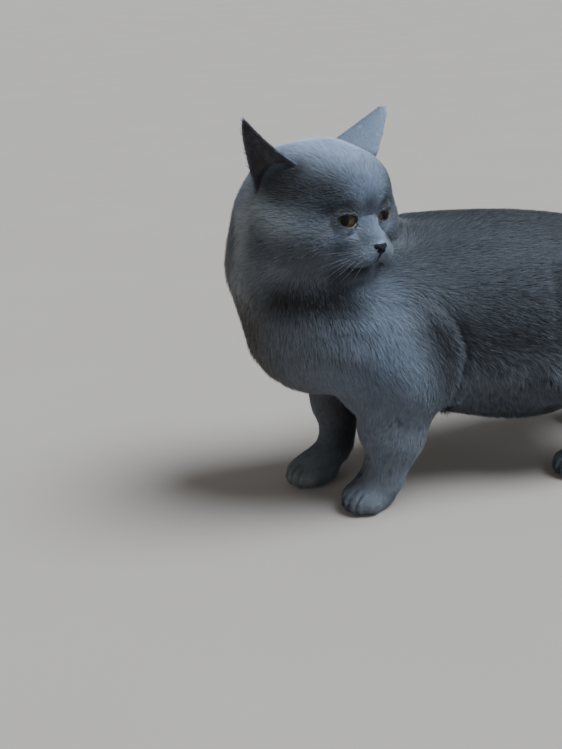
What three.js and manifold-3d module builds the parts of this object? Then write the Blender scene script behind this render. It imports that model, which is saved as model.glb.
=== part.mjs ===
// A blue short-haired tom cat, standing and looking back over its left side, at life size.
// Millimetres, +Z up, +X forward along the trunk, +Y to the cat's left. The surfaces are the
// outside of the coat. The origin is on the floor, under the middle of the whole animal.
import * as THREE from 'three';
import Module from 'manifold-3d';
import { mergeVertices } from 'three/addons/utils/BufferGeometryUtils.js';

const wasm = await Module();
wasm.setup();

// ---------------------------------------------------------------- driving dimensions
const GAP = 0.3; // left between neighbouring pieces
const SHANK_ROOM = 1; // left round the top of a hind shank, where it meets the belly
const FLOOR_CUT = 2; // how far a paw is drawn below the floor before its sole is cut flat
const ASIDE = 120; // beyond the cat's sides

// Trunk: sections from rump to breast. Each has its place along X, the height of the back,
// the height of the belly, half its width and how far its middle lies to the left.
const TRUNK = [
  { x: -266, back: 220, belly: 84, half: 54, left: 0 },
  { x: -226, back: 232, belly: 50, half: 67, left: 0 },
  { x: -186, back: 240, belly: 43, half: 73, left: 0 },
  { x: -146, back: 245, belly: 49, half: 74, left: 0 },
  { x: -104, back: 248, belly: 61, half: 72, left: 0 },
  { x: -62, back: 249, belly: 73, half: 68, left: 0 },
  { x: -20, back: 244, belly: 87, half: 64, left: 0 },
  { x: 16, back: 232, belly: 105, half: 56, left: -2 },
];
const RUMP_REACH = 56; // how far the rump rounds off behind its last section
const BREAST_REACH = 56; // how far the breast rounds off before its first section
const NECK = [
  { at: [20, -4, 168], radius: 60 },
  { at: [32, -14, 214], radius: 56.5 },
  { at: [32, -15, 248], radius: 52.5 },
];

// Head: its own frame has +X out of the face, +Y to the cat's left and +Z to the crown,
// and starts midway between the eyes, a little inside their fronts.
const HEAD_PLACE = [-4.2, 55.9, 263.2];
const HEAD_TURN = 112.2; // degrees to the left of the trunk
const HEAD_NOD = 1.1; // degrees down
const HEAD_LEAN = -2.2; // degrees, left side up
const EYE_SPACING = 42;
const EYE_RADIUS = 11.5;
const EYE_FORWARD = 3.2; // from the head frame's start to the fronts of the eyes
const EYE_SPLAY = 14; // degrees that each eye looks outwards
const NOSE_TIP = [20.6, 0, -22.2];
const EARS = {
  left: { front: [-33, 43, 40], rear: [-91, 31, 33], tip: [-56, 75, 75], frontEdge: 0.85, rearEdge: 1.35 },
  right: { front: [-34, -41, 39], rear: [-62, -58, 13], tip: [-56, -76, 73], frontEdge: 1.6, rearEdge: 0.85 },
};
const EAR_THICKNESS = 3.4;
const EAR_CUP = 12; // depth of the ear's hollow at its base

// Legs: joints and the coat's radius round them.
const FORELEGS = {
  left: {
    shoulder: [6, 40, 168],
    elbow: [-50, 46, 112],
    wrist: [-27, 39, 31],
    paw: [-13, 38],
    heading: 26, // degrees to the left that the toes point
  },
  right: {
    shoulder: [22, -40, 168],
    elbow: [-24, -44, 112],
    wrist: [-10, -33, 31],
    paw: [15, -28],
    heading: 22,
  },
};
const FORELEG_RADIUS = {
  left: { shoulder: 34, elbow: 31, front: 25, knee: 24, wrist: 19.5 },
  right: { shoulder: 34, elbow: 29, front: 21, knee: 19.5, wrist: 16.5 },
};
const HIND_LEGS = {
  left: {
    hip: [-258, 32, 172],
    ham: [-294, 30, 162],
    knee: [-204, 54, 98],
    hock: [-280, 51, 74],
    paw: [-222, 52],
    heading: 12,
  },
  right: {
    hip: [-264, -32, 172],
    ham: [-298, -30, 162],
    knee: [-250, -46, 112],
    hock: [-338, -46, 80],
    paw: [-300, -45],
    heading: -4,
  },
};
const HIND_LEG_RADIUS = { hip: 50, ham: 30, knee: 31, calf: 25, hock: 17 };

// Paws, in a frame of their own: +X to the toes, the floor at z = 0.
const FOREPAW = { length: 56, width: 41, height: 27, toe: 10.5 };
const HIND_PAW = { length: 60, width: 38, height: 25, toe: 9.8 };

const TAIL = [
  { at: [-284, 0, 184], radius: 26 },
  { at: [-330, 0, 172], radius: 23 },
  { at: [-368, 2, 136], radius: 21.5 },
  { at: [-394, 6, 92], radius: 20.5 },
  { at: [-426, 12, 58], radius: 19.5 },
  { at: [-466, 18, 50], radius: 17 },
];

// Where the pieces part.
const NECK_TILT = 14.5; // degrees that the cut under the head slopes down to the chin
const NECK_DROP = -49.6; // height of that cut under the eyes, in the head's frame
const BREAST_CUT = { at: [22, -8, 198], normal: [0.62, -0.1, 0.78] };
const WAIST_CUTS = [-84, -186]; // along X: chest, belly, rump
const ELBOW_CUT = 92; // height at which a foreleg leaves the body
const KNEE_CUT = 97; // and a hind leg
const WRIST_CUT = 36;
const HOCK_CUT = 50;
const STUMP = 8; // how much of each leg is drawn below its cut
const ARM_BLOCK = { behind: 40, ahead: 60, inner: 38, high: 176 }; // around the elbow, the upper arm
const THIGH_BLOCK = { behind: 196, ahead: 38, inner: 34, high: 206 }; // and around the knee, the thigh
const FORELEG_INNER = 10; // clear of the middle, where the space for a forearm starts

const COAT = 0x5f6a7a;

// ---------------------------------------------------------------- forms
// A form is a function of a point: negative inside, positive outside, about its distance.
const vec = (p) => new THREE.Vector3(...p);
const mix = (a, b, t) => a + (b - a) * t;
const X = vec([1, 0, 0]);
const UP = vec([0, 0, 1]);
const DOWN = vec([0, 0, -1]);

function ball([cx, cy, cz], [rx, ry, rz]) {
  return (p) => {
    const x = (p.x - cx) / rx;
    const y = (p.y - cy) / ry;
    const z = (p.z - cz) / rz;
    const near = Math.hypot(x, y, z);
    const steep = Math.hypot(x / rx, y / ry, z / rz);
    return steep < 1e-9 ? -Math.min(rx, ry, rz) : (near * (near - 1)) / steep;
  };
}

function limb(from, to, fromRadius, toRadius) {
  const a = vec(from);
  const along = vec(to).sub(a);
  const squared = along.lengthSq();
  const offset = new THREE.Vector3();
  return (p) => {
    const t = THREE.MathUtils.clamp(offset.subVectors(p, a).dot(along) / squared, 0, 1);
    return offset.addScaledVector(along, -t).length() - mix(fromRadius, toRadius, t);
  };
}

function blend(soft, ...forms) {
  return (p) =>
    forms.reduce((nearest, form) => {
      const next = form(p);
      const share = Math.max(soft - Math.abs(nearest - next), 0) / soft;
      return Math.min(nearest, next) - (share * share * soft) / 4;
    }, Infinity);
}

const chain = (soft, links) =>
  blend(soft, ...links.slice(1).map((end, i) => limb(links[i].at, end.at, links[i].radius, end.radius)));

const under = (form, height) => (p) => Math.max(form(p), p.z - height);
const above = (form, height) => (p) => Math.max(form(p), height - p.z);
const grown = (form, by) => (p) => form(p) - by;

// The form, ended a little past a plane. It keeps the side that the normal points to.
function ended(form, { at, normal }, margin) {
  const place = vec(at);
  const way = vec(normal).normalize();
  return (p) => Math.max(form(p), way.dot(place) - way.dot(p) - margin);
}

function placed(form, matrix) {
  const back = matrix.clone().invert();
  const local = new THREE.Vector3();
  return (p) => form(local.copy(p).applyMatrix4(back));
}

// ---------------------------------------------------------------- facets
// How far a ray from inside a form runs before it leaves it.
function reach(form, start, direction) {
  const stride = 2;
  const p = new THREE.Vector3();
  const at = (distance) => form(p.copy(start).addScaledVector(direction, distance));
  let outside = stride;
  while (at(outside) < 0 && outside < 400) outside += stride;
  let inside = outside - stride;
  for (let halving = 0; halving < 16; halving += 1) {
    const middle = (inside + outside) / 2;
    if (at(middle) < 0) inside = middle;
    else outside = middle;
  }
  return (inside + outside) / 2;
}

// A closed skin of facets over a form. Rings of rays leave the stations of an axis. Each
// station has its place, the axis there, and how far its rays lean along that axis.
function skin(form, stations, sides, up) {
  const points = [];
  const faces = [];
  const cast = (station, direction) =>
    station.at.clone().addScaledVector(direction, reach(form, station.at, direction));
  stations.forEach((station) => {
    const u = up.clone().addScaledVector(station.axis, -up.dot(station.axis)).normalize();
    const w = station.axis.clone().cross(u);
    for (let side = 0; side < sides; side += 1) {
      const turn = (2 * Math.PI * side) / sides;
      const ray = u.clone().multiplyScalar(Math.cos(turn)).addScaledVector(w, Math.sin(turn));
      ray.multiplyScalar(Math.cos(station.lean)).addScaledVector(station.axis, Math.sin(station.lean));
      points.push(cast(station, ray));
    }
  });
  for (let ring = 0; ring + 1 < stations.length; ring += 1) {
    for (let side = 0; side < sides; side += 1) {
      const a = ring * sides + side;
      const b = ring * sides + ((side + 1) % sides);
      faces.push(a, b, b + sides, a, b + sides, a + sides);
    }
  }
  const close = (station, first, sign) => {
    const pole = points.length;
    points.push(station.lean === 0 ? station.at : cast(station, station.axis.clone().multiplyScalar(sign)));
    for (let side = 0; side < sides; side += 1) {
      const a = first + side;
      const b = first + ((side + 1) % sides);
      if (sign > 0) faces.push(a, b, pole);
      else faces.push(b, a, pole);
    }
  };
  close(stations[0], 0, -1);
  close(stations.at(-1), (stations.length - 1) * sides, 1);
  const geometry = new THREE.BufferGeometry();
  geometry.setAttribute('position', new THREE.Float32BufferAttribute(points.flatMap((p) => p.toArray()), 3));
  geometry.setIndex(faces);
  return geometry;
}

// Stations along a curve through the given places. Their rings face along the curve, or all
// along one given axis. A round end adds rings that lean out of it.
function along(places, rings, { axis, startRound = 0, endRound = 0 } = {}) {
  const curve = new THREE.CatmullRomCurve3(places.map(vec), false, 'centripetal');
  const station = (t, lean) => ({ at: curve.getPointAt(t), axis: axis ?? curve.getTangentAt(t), lean });
  const quarter = Math.PI / 2;
  const stations = [];
  for (let i = 1; i <= startRound; i += 1) stations.push(station(0, quarter * (i / (startRound + 1) - 1)));
  for (let i = 0; i < rings; i += 1) stations.push(station(i / (rings - 1), 0));
  for (let i = 1; i <= endRound; i += 1) stations.push(station(1, (quarter * i) / (endRound + 1)));
  return stations;
}

// ---------------------------------------------------------------- cuts
function solid(geometry) {
  const bare = geometry.clone();
  bare.deleteAttribute('normal');
  bare.deleteAttribute('uv');
  const merged = mergeVertices(bare, 1e-4);
  return new wasm.Manifold(
    new wasm.Mesh({
      numProp: 3,
      vertProperties: new Float32Array(merged.attributes.position.array),
      triVerts: new Uint32Array(merged.index.array),
    }),
  );
}

function geometryOf(manifold) {
  const { vertProperties, triVerts } = manifold.getMesh();
  const geometry = new THREE.BufferGeometry();
  geometry.setAttribute('position', new THREE.BufferAttribute(vertProperties, 3));
  geometry.setIndex(new THREE.BufferAttribute(triVerts, 1));
  return geometry;
}

// A block that fills everything on the far side of a plane, out to where the cat ends.
function beyond(place, normal, size = 900) {
  const block = new THREE.BoxGeometry(size, size, size);
  block.translate(0, 0, size / 2);
  const turn = new THREE.Quaternion().setFromUnitVectors(new THREE.Vector3(0, 0, 1), vec(normal).normalize());
  block.applyQuaternion(turn);
  block.translate(...place);
  return solid(block);
}

function block([x0, y0, z0], [x1, y1, z1], turn = 0) {
  const geometry = new THREE.BoxGeometry(x1 - x0, y1 - y0, z1 - z0);
  geometry.translate((x0 + x1) / 2, (y0 + y1) / 2, (z0 + z1) / 2);
  geometry.rotateZ(THREE.MathUtils.degToRad(turn));
  return solid(geometry);
}

// ---------------------------------------------------------------- trunk and neck
function trunkForm(p) {
  const first = TRUNK[0];
  const last = TRUNK.at(-1);
  const x = THREE.MathUtils.clamp(p.x, first.x, last.x);
  let i = 1;
  while (i < TRUNK.length - 1 && TRUNK[i].x < x) i += 1;
  const a = TRUNK[i - 1];
  const b = TRUNK[i];
  const t = (x - a.x) / (b.x - a.x);
  const before = TRUNK[Math.max(i - 2, 0)];
  const after = TRUNK[Math.min(i + 1, TRUNK.length - 1)];
  const size = (key) => {
    const slopeA = ((b[key] - before[key]) / (b.x - before.x)) * (b.x - a.x);
    const slopeB = ((after[key] - a[key]) / (after.x - a.x)) * (b.x - a.x);
    const t2 = t * t;
    const t3 = t2 * t;
    const fromA = (2 * t3 - 3 * t2 + 1) * a[key] + (t3 - 2 * t2 + t) * slopeA;
    const fromB = (3 * t2 - 2 * t3) * b[key] + (t3 - t2) * slopeB;
    return fromA + fromB;
  };
  const back = size('back');
  const belly = size('belly');
  const half = size('half');
  const tall = (back - belly) / 2;
  const past = (p.x - x) / (p.x < x ? RUMP_REACH : BREAST_REACH);
  const across = (p.y - size('left')) / half;
  const upright = (p.z - (back + belly) / 2) / tall;
  return (Math.hypot(past, across, upright) - 1) * Math.min(half, tall);
}

const upperArm = (side) => {
  const { shoulder, elbow, wrist } = FORELEGS[side];
  const radius = FORELEG_RADIUS[side];
  const front = [mix(shoulder[0], elbow[0], 0.46), elbow[1] - Math.sign(elbow[1]) * 6, 122];
  const frontEnd = vec(front).lerp(vec(wrist), 0.55).toArray();
  return blend(
    10,
    limb(shoulder, elbow, radius.shoulder, radius.elbow),
    limb(front, frontEnd, radius.front, mix(radius.front, radius.wrist, 0.6)),
  );
};

function foreleg(side) {
  const { elbow, wrist, paw } = FORELEGS[side];
  const radius = FORELEG_RADIUS[side];
  const knee = vec(elbow).lerp(vec(wrist), 0.55).toArray();
  return blend(
    10,
    upperArm(side),
    limb(elbow, knee, radius.elbow - 4, radius.knee),
    limb(knee, wrist, radius.knee, radius.wrist),
    limb(wrist, [...paw, 13], radius.wrist - 2, 12),
  );
}

function hindLeg(side) {
  const { hip, ham, knee, hock, paw } = HIND_LEGS[side];
  const radius = HIND_LEG_RADIUS;
  const calf = vec(knee).lerp(vec(hock), 0.5).toArray();
  return blend(
    14,
    limb(hip, knee, radius.hip, radius.knee),
    limb(ham, calf, radius.ham, radius.calf - 2),
    limb(knee, calf, radius.knee - 4, radius.calf),
    limb(calf, hock, radius.calf, radius.hock),
    limb(hock, [paw[0] - 18, paw[1], 18], radius.hock, 16),
  );
}

// ---------------------------------------------------------------- head
const headMatrix = new THREE.Matrix4().makeRotationFromEuler(
  new THREE.Euler(
    THREE.MathUtils.degToRad(HEAD_LEAN),
    THREE.MathUtils.degToRad(HEAD_NOD),
    THREE.MathUtils.degToRad(HEAD_TURN),
    'ZYX',
  ),
);
headMatrix.setPosition(...HEAD_PLACE);

const both = (shape) => [shape(1), shape(-1)];
const hollowed = (soft, form, hollow) => {
  const joined = blend(soft, (p) => -form(p), hollow);
  return (p) => -joined(p);
};
const faceForm = blend(
  7,
  blend(
    16,
    ball([-52, 0, 5], [52, 56, 50]),
    ...both((s) => ball([-43, 32 * s, -16], [39, 35, 32])),
    ball([-21, 0, 20], [24.5, 38, 26]),
    ...both((s) => ball([-68, 26 * s, 19], [24, 22, 28])),
  ),
  ball([-19, 0, -36], [26.5, 25, 17.5]),
  limb([-14, 0, 12], [5, 0, -14], 12, 10),
  ...both((s) => ball([0.5, 10 * s, -27.5], [16, 13.5, 11])),
  ball([-5, 0, -41], [13, 12, 10]),
  ball([10, 0, -21], [9, 8.5, 7]),
);
const skullForm = hollowed(
  8,
  faceForm,
  blend(1, ...both((s) => ball([8, (EYE_SPACING / 2 + 2) * s, 0], [9, 12, 10]))),
);
const skullInPlace = placed(skullForm, headMatrix);
const neckForm = chain(14, NECK);

const headAndNeck = blend(20, neckForm, skullInPlace);
const SIDES = ['left', 'right'];
const arms = SIDES.map(foreleg);
const hindLegs = SIDES.map(hindLeg);
const bodyForm = blend(
  24,
  trunkForm,
  neckForm,
  ...arms.map((arm) => above(arm, ELBOW_CUT - STUMP)),
  ...hindLegs.map((leg) => above(leg, KNEE_CUT - STUMP)),
);

// The cut under the head, in the head's frame and in the body's.
const slope = Math.tan(THREE.MathUtils.degToRad(NECK_TILT));
const HEAD_CUT = { at: [-62, 0, NECK_DROP + 62 * slope], normal: [slope, 0, 1] };
const NECK_TOP = {
  at: vec(HEAD_CUT.at).applyMatrix4(headMatrix).toArray(),
  normal: vec(HEAD_CUT.normal).transformDirection(headMatrix).toArray(),
};

function eyePlace(side) {
  const splay = THREE.MathUtils.degToRad(EYE_SPLAY) * side;
  return new THREE.Vector3(
    EYE_FORWARD - EYE_RADIUS * Math.cos(splay),
    (EYE_SPACING / 2) * side - EYE_RADIUS * Math.sin(splay),
    0,
  );
}

function eyeball(side, grow = 0) {
  const { x, y, z } = eyePlace(side);
  return new THREE.SphereGeometry(EYE_RADIUS + grow, 12, 8).translate(x, y, z);
}

function noseLeather(grow = 0) {
  const shape = new THREE.SphereGeometry(1, 10, 6);
  const place = shape.attributes.position;
  for (let i = 0; i < place.count; i += 1) {
    const x = place.getX(i);
    const y = place.getY(i);
    const z = place.getZ(i);
    // wide at the top, drawn in to the split of the lip below
    const wide = 7 * (1 + 0.45 * z) + grow;
    place.setXYZ(i, NOSE_TIP[0] - 7 + (7 + grow) * x, wide * y, NOSE_TIP[2] + (5.6 + grow) * z);
  }
  return shape;
}

// An ear is a thin sheet, bent into a cup and drawn in to its round tip.
function ear({ front, rear, tip, frontEdge, rearEdge }) {
  const sheet = new THREE.BoxGeometry(1, 1, 1, 5, 8, 1);
  const base = vec(front).add(vec(rear)).multiplyScalar(0.5);
  const width = vec(rear).sub(vec(front));
  const rise = vec(tip).sub(base);
  const normal = new THREE.Vector3().crossVectors(width, rise).normalize();
  const hollow = -Math.sign(normal.y * base.y); // the cup opens away from the crown
  const place = sheet.attributes.position;
  for (let i = 0; i < place.count; i += 1) {
    const across = place.getX(i) * 2;
    const height = (place.getY(i) + 0.5) ** 0.9;
    const sunk = height * 1.22 - 0.22; // the foot of the sheet goes into the head
    const side = place.getZ(i);
    const risen = Math.max(sunk, 0);
    const round = 0.04 + 0.06 * Math.sqrt(1 - risen ** 8);
    const narrow = 0.45 * (1 - risen) ** (across > 0 ? rearEdge : frontEdge) + round;
    const cup = EAR_CUP * (1 - across * across) * (1 - 0.75 * risen);
    const thick = EAR_THICKNESS * (1 - 0.4 * Math.abs(across)) * (1 - 0.35 * height);
    const p = base
      .clone()
      .addScaledVector(rise, sunk)
      .addScaledVector(width, narrow * across)
      .addScaledVector(normal, cup * hollow + side * thick);
    place.setXYZ(i, p.x, p.y, p.z);
  }
  return sheet;
}

// Rings of rays from one place, at the given angles from an axis.
const around = (at, axis, angles) =>
  angles.toReversed().map((degrees) => ({ at, axis, lean: THREE.MathUtils.degToRad(90 - degrees) || 1e-6 }));

const HEAD_RINGS = [4, 8, 12, 16.5, 21, 26, 31, 37, 44, 51, 59, 67, 76, 85, 95, 105, 116, 127, 139, 151, 164];
const HEAD_SIDES = 31;

function makeHead(grow = 0) {
  const middle = new THREE.Vector3(-42, 0, -8);
  const form = ended(placed(headAndNeck, headMatrix.clone().invert()), HEAD_CUT, 12);
  const stations = around(middle, vec(NOSE_TIP).sub(middle).normalize(), HEAD_RINGS);
  const whole = solid(skin(grown(form, grow), stations, HEAD_SIDES, UP));
  const cut = whole.intersect(beyond(HEAD_CUT.at, HEAD_CUT.normal));
  if (grow) return cut;
  return cut
    .subtract(solid(eyeball(1, GAP)))
    .subtract(solid(eyeball(-1, GAP)))
    .subtract(solid(noseLeather(GAP)));
}

// ---------------------------------------------------------------- body pieces

const flipped = ({ at, normal }) => ({ at, normal: normal.map((n) => -n) });

function makeTrunk() {
  const axis = [[-262, 0, 160], [-190, 0, 150], [-100, 0, 155], [-20, 0, 160], [16, -2, 160]];
  const stations = along(axis, 17, { axis: X, startRound: 4, endRound: 4 });
  const whole = solid(skin(ended(bodyForm, flipped(BREAST_CUT), 14), stations, 24, UP));
  const headRoom = makeHead(GAP).transform(headMatrix.elements);
  return whole.subtract(beyond(BREAST_CUT.at, BREAST_CUT.normal)).subtract(headRoom);
}

const NECK_RINGS = [15, 31, 46, 60, 73, 86, 99, 113, 130, 150];
function makeNeck() {
  const below = flipped(NECK_TOP);
  const form = ended(ended(blend(24, trunkForm, headAndNeck, ...arms), BREAST_CUT, 14), below, 14);
  const stations = around(vec(NECK[1].at), X, NECK_RINGS);
  const lower = below.at.map((c, i) => c + below.normal[i] * GAP);
  const upper = vec(BREAST_CUT.at).addScaledVector(vec(BREAST_CUT.normal).normalize(), GAP).toArray();
  return solid(skin(form, stations, 28, UP))
    .intersect(beyond(upper, BREAST_CUT.normal))
    .intersect(beyond(lower, below.normal));
}

// The column of space that a leg takes below its cut.
function legRoom(side, [back, front], inner, height) {
  const [y0, y1] = side === 'left' ? [inner, ASIDE] : [-ASIDE, -inner];
  return block([back, y0, -FLOOR_CUT], [front, y1, height]);
}

// Level rings of facets down a leg.
const LEG_SIDES = 16;
const legSkin = (form, axis, rings) => solid(skin(form, along(axis, rings, { axis: DOWN }), LEG_SIDES, X));

function elbowPlace(side) {
  const { elbow, wrist } = FORELEGS[side];
  const top = vec(elbow).lerp(vec(wrist), (elbow[2] - ELBOW_CUT) / (elbow[2] - wrist[2]));
  return [top.x + 8, top.y];
}

function kneePlace(side) {
  const { knee, hock } = HIND_LEGS[side];
  return [mix(knee[0], hock[0], 0.48), mix(knee[1], hock[1], 0.4)];
}

function makeForearm(side) {
  const { wrist } = FORELEGS[side];
  const top = [...elbowPlace(side), ELBOW_CUT - GAP];
  const middle = vec(top).lerp(vec(wrist), 0.5).toArray();
  return legSkin(foreleg(side), [top, middle, [wrist[0], wrist[1], WRIST_CUT + GAP]], 8);
}

// The upper arm and the thigh, cast from the body's form down to the leg's cut.
const makeUpper = ([x, y], high, low) => legSkin(bodyForm, [[x, y, high + 2], [x, y, low]], 9);

// A paw: four toes in front of a round body, under the wrist or the hock.
function pawForm({ length, width, height, toe }, stump) {
  const front = length / 2;
  const spread = width / 2 - toe + 1;
  const toes = [-1, -0.36, 0.36, 1].map((place) => {
    const inner = Math.abs(place) < 0.5;
    const tip = front - toe - (inner ? 0 : 7);
    const knuckle = [tip - 16, place * spread * 0.8, toe + 4];
    return limb(knuckle, [tip, place * spread, toe * 0.94], toe, toe * 0.98);
  });
  const body = ball([-length * 0.12, 0, height * 0.4], [length * 0.36, width * 0.47, height * 0.56]);
  return blend(7, blend(3.2, ...toes), body, stump);
}

function makePaw(size, stump, cutHeight) {
  const form = under(above(pawForm(size, stump), -FLOOR_CUT), cutHeight + 6);
  const axis = [[-size.length * 0.22, 0, 10], [size.length * 0.2, 0, 9]];
  const paw = solid(skin(form, along(axis, 6, { axis: X, startRound: 3, endRound: 4 }), 17, UP));
  return paw.intersect(block([-90, -90, 0], [90, 90, cutHeight]));
}

function makeShank(side, grow = 0) {
  const { knee, hock, paw } = HIND_LEGS[side];
  const axis = [
    [...kneePlace(side), KNEE_CUT - GAP + grow],
    [mix(knee[0], hock[0], 0.78), mix(knee[1], hock[1], 0.8), 83],
    [hock[0] + 5, hock[1], 68],
    [mix(hock[0], paw[0] - 18, 0.42), mix(hock[1], paw[1], 0.42), HOCK_CUT + GAP],
  ];
  return legSkin(grown(hindLeg(side), grow), axis, 8);
}

// ---------------------------------------------------------------- the cat
const cat = new THREE.Group();
const headGroup = new THREE.Group();
headMatrix.decompose(headGroup.position, headGroup.quaternion, headGroup.scale);
cat.add(headGroup);

function add(name, shape, { colour = COAT, roughness = 0.95, parent = cat } = {}) {
  const geometry = shape.isBufferGeometry ? shape : geometryOf(shape);
  const finish = new THREE.MeshStandardMaterial({ color: colour, roughness, metalness: 0 });
  const mesh = new THREE.Mesh(geometry, finish);
  mesh.name = name;
  parent.add(mesh);
  return mesh;
}

const inHead = { parent: headGroup };
const head = makeHead();
add('head', head, inHead);
add('nose', solid(noseLeather()), { ...inHead, colour: 0x3b4250, roughness: 0.5 });
for (const [side, sign] of [['left', 1], ['right', -1]]) {
  add(`eye_${side}`, solid(eyeball(sign)), { ...inHead, colour: 0x9a5a22, roughness: 0.08 });
  add(`ear_${side}`, solid(ear(EARS[side])).subtract(head), { ...inHead, colour: 0x525c6b });
}

let trunk = makeTrunk();
add('neck', makeNeck());
for (const side of SIDES) {
  const { elbow } = FORELEGS[side];
  const stretch = [elbow[0] - ARM_BLOCK.behind, elbow[0] + ARM_BLOCK.ahead];
  trunk = trunk.subtract(legRoom(side, stretch, FORELEG_INNER, ELBOW_CUT));
  trunk = trunk.subtract(makeShank(side, SHANK_ROOM));
  add(`forearm_${side}`, makeForearm(side));
  add(`shank_${side}`, makeShank(side));
}

// The upper arm and the thigh meet the trunk at flat faces along its side.
for (const side of SIDES) {
  const { elbow } = FORELEGS[side];
  const { knee } = HIND_LEGS[side];
  const limbs = [
    { name: 'upper_arm', place: elbowPlace(side), x: elbow[0], cut: ARM_BLOCK, low: ELBOW_CUT },
    { name: 'thigh', place: kneePlace(side), x: knee[0], cut: THIGH_BLOCK, low: KNEE_CUT },
  ];
  for (const { name, place, x, cut, low } of limbs) {
    const room = (grow, floor) => {
      const ys = side === 'left' ? [cut.inner - grow, ASIDE] : [-ASIDE, grow - cut.inner];
      return block([x - cut.behind - grow, ys[0], floor], [x + cut.ahead + grow, ys[1], cut.high + grow]);
    };
    add(`${name}_${side}`, makeUpper(place, cut.high, low).intersect(room(0, low)));
    trunk = trunk.subtract(room(GAP, low - GAP));
  }
}

// A piece without the crumbs that the cuts leave beside it.
const larger = (a, b) => (b.volume() > a.volume() ? b : a);
const largest = (cut) => cut.decompose().reduce(larger);
const [chestEnd, bellyEnd] = WAIST_CUTS;
const far = 600;
add('chest', trunk.intersect(block([chestEnd + GAP, -far, -far], [far, far, far])));
add('belly', largest(trunk.intersect(block([bellyEnd + GAP, -far, -far], [chestEnd, far, far]))));
add('rump', largest(trunk.intersect(block([-far, -far, -far], [bellyEnd, far, far]))));

for (const side of SIDES) {
  for (const [name, size, leg, legForm, cut] of [
    ['forepaw', FOREPAW, FORELEGS[side], foreleg(side), WRIST_CUT],
    ['hind_paw', HIND_PAW, HIND_LEGS[side], hindLeg(side), HOCK_CUT],
  ]) {
    const place = new THREE.Matrix4().makeRotationZ(THREE.MathUtils.degToRad(leg.heading));
    place.setPosition(...leg.paw, 0);
    const mesh = add(`${name}_${side}`, makePaw(size, placed(legForm, place.clone().invert()), cut));
    place.decompose(mesh.position, mesh.quaternion, mesh.scale);
  }
}

const tailForm = chain(10, TAIL);
const tailStations = along(TAIL.map(({ at }) => at), 13, { endRound: 2 });
const tail = solid(skin(tailForm, tailStations, 12, UP)).subtract(trunk);
const tailCuts = [vec(TAIL[2].at), vec(TAIL[4].at)];
const tailNormals = [new THREE.Vector3(-0.6, 0, -0.8), new THREE.Vector3(-0.85, 0, -0.5)];
const behind = (place, normal) => beyond(place.toArray(), normal.toArray());
const after = (i) => behind(tailCuts[i].clone().addScaledVector(tailNormals[i], GAP), tailNormals[i]);
const until = (i) => behind(tailCuts[i], tailNormals[i].clone().negate());
add('tail_base', tail.intersect(until(0)));
add('tail_middle', tail.intersect(after(0)).intersect(until(1)));
add('tail_tip', tail.intersect(after(1)));

// The whole is set with its floor centre at the origin.
const part = new THREE.Group();
part.add(cat);
cat.updateMatrixWorld(true);
const bounds = new THREE.Box3().setFromObject(cat, true);
cat.position.set(-(bounds.min.x + bounds.max.x) / 2, -(bounds.min.y + bounds.max.y) / 2, -bounds.min.z);

export default part;
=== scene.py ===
# %% [markdown]
# # A blue short-haired cat, looking back over its left side
#
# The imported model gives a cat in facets, out to the tips of its coat. This lesson puts a living
# surface in its place: one skin without seams, eyes with lids, a nose, ears, whiskers, and a
# plush coat of several hundred thousand thin hairs. Everything is in metres, in the packed
# model's frame.

import math

import bmesh
import bpy
import numpy as np
from mathutils import Euler, Matrix, Vector
from mathutils.kdtree import KDTree


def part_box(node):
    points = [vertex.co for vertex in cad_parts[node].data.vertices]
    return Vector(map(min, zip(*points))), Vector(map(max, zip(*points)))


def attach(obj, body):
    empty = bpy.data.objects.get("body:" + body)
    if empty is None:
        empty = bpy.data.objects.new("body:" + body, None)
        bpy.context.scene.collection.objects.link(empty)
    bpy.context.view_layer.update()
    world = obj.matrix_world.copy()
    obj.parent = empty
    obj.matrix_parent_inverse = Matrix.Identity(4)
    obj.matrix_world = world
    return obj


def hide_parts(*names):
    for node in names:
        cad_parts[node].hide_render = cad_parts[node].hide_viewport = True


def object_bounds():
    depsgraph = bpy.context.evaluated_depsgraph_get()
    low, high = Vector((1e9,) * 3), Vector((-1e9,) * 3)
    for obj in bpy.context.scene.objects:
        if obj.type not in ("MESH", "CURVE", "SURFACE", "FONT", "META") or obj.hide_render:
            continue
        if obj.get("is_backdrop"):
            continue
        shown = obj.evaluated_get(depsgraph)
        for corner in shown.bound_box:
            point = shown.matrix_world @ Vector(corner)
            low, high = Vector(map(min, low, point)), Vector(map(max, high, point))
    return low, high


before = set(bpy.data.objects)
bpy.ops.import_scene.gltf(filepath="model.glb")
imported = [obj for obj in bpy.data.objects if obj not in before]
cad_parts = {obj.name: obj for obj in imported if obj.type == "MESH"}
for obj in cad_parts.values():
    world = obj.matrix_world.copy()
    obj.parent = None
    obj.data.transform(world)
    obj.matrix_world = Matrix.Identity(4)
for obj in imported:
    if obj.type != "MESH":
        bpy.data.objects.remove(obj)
cad_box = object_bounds()
print("the packed cat has", len(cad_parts), "nodes")

# %% [markdown]
# The body was drawn in millimetres, with its origin under the shoulders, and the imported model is
# centred. The head has a frame of its own, out of the face, to the cat's left and up. The script
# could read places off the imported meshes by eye, but two frames and one shift keep every later
# number easy to think about: "20 out of the face" stays true however the head is turned.

# %% The body's frame and the head's frame
MM = 0.001
LEFT, RIGHT = 1, -1
SIDES = {LEFT: "left", RIGHT: "right"}
HEAD_PLACE = Vector((-4.2, 55.9, 263.2)) * MM
HEAD_TURN = Euler([math.radians(a) for a in (-2.2, 1.1, 112.2)], "XYZ").to_matrix()
EYE_RADIUS = 11.5 * MM
EYE_SPLAY = math.radians(14)
EYE_OUT, EYE_ASIDE = 3.2 * MM, 21 * MM  # where the front of an eyeball lies in the head's frame


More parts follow.
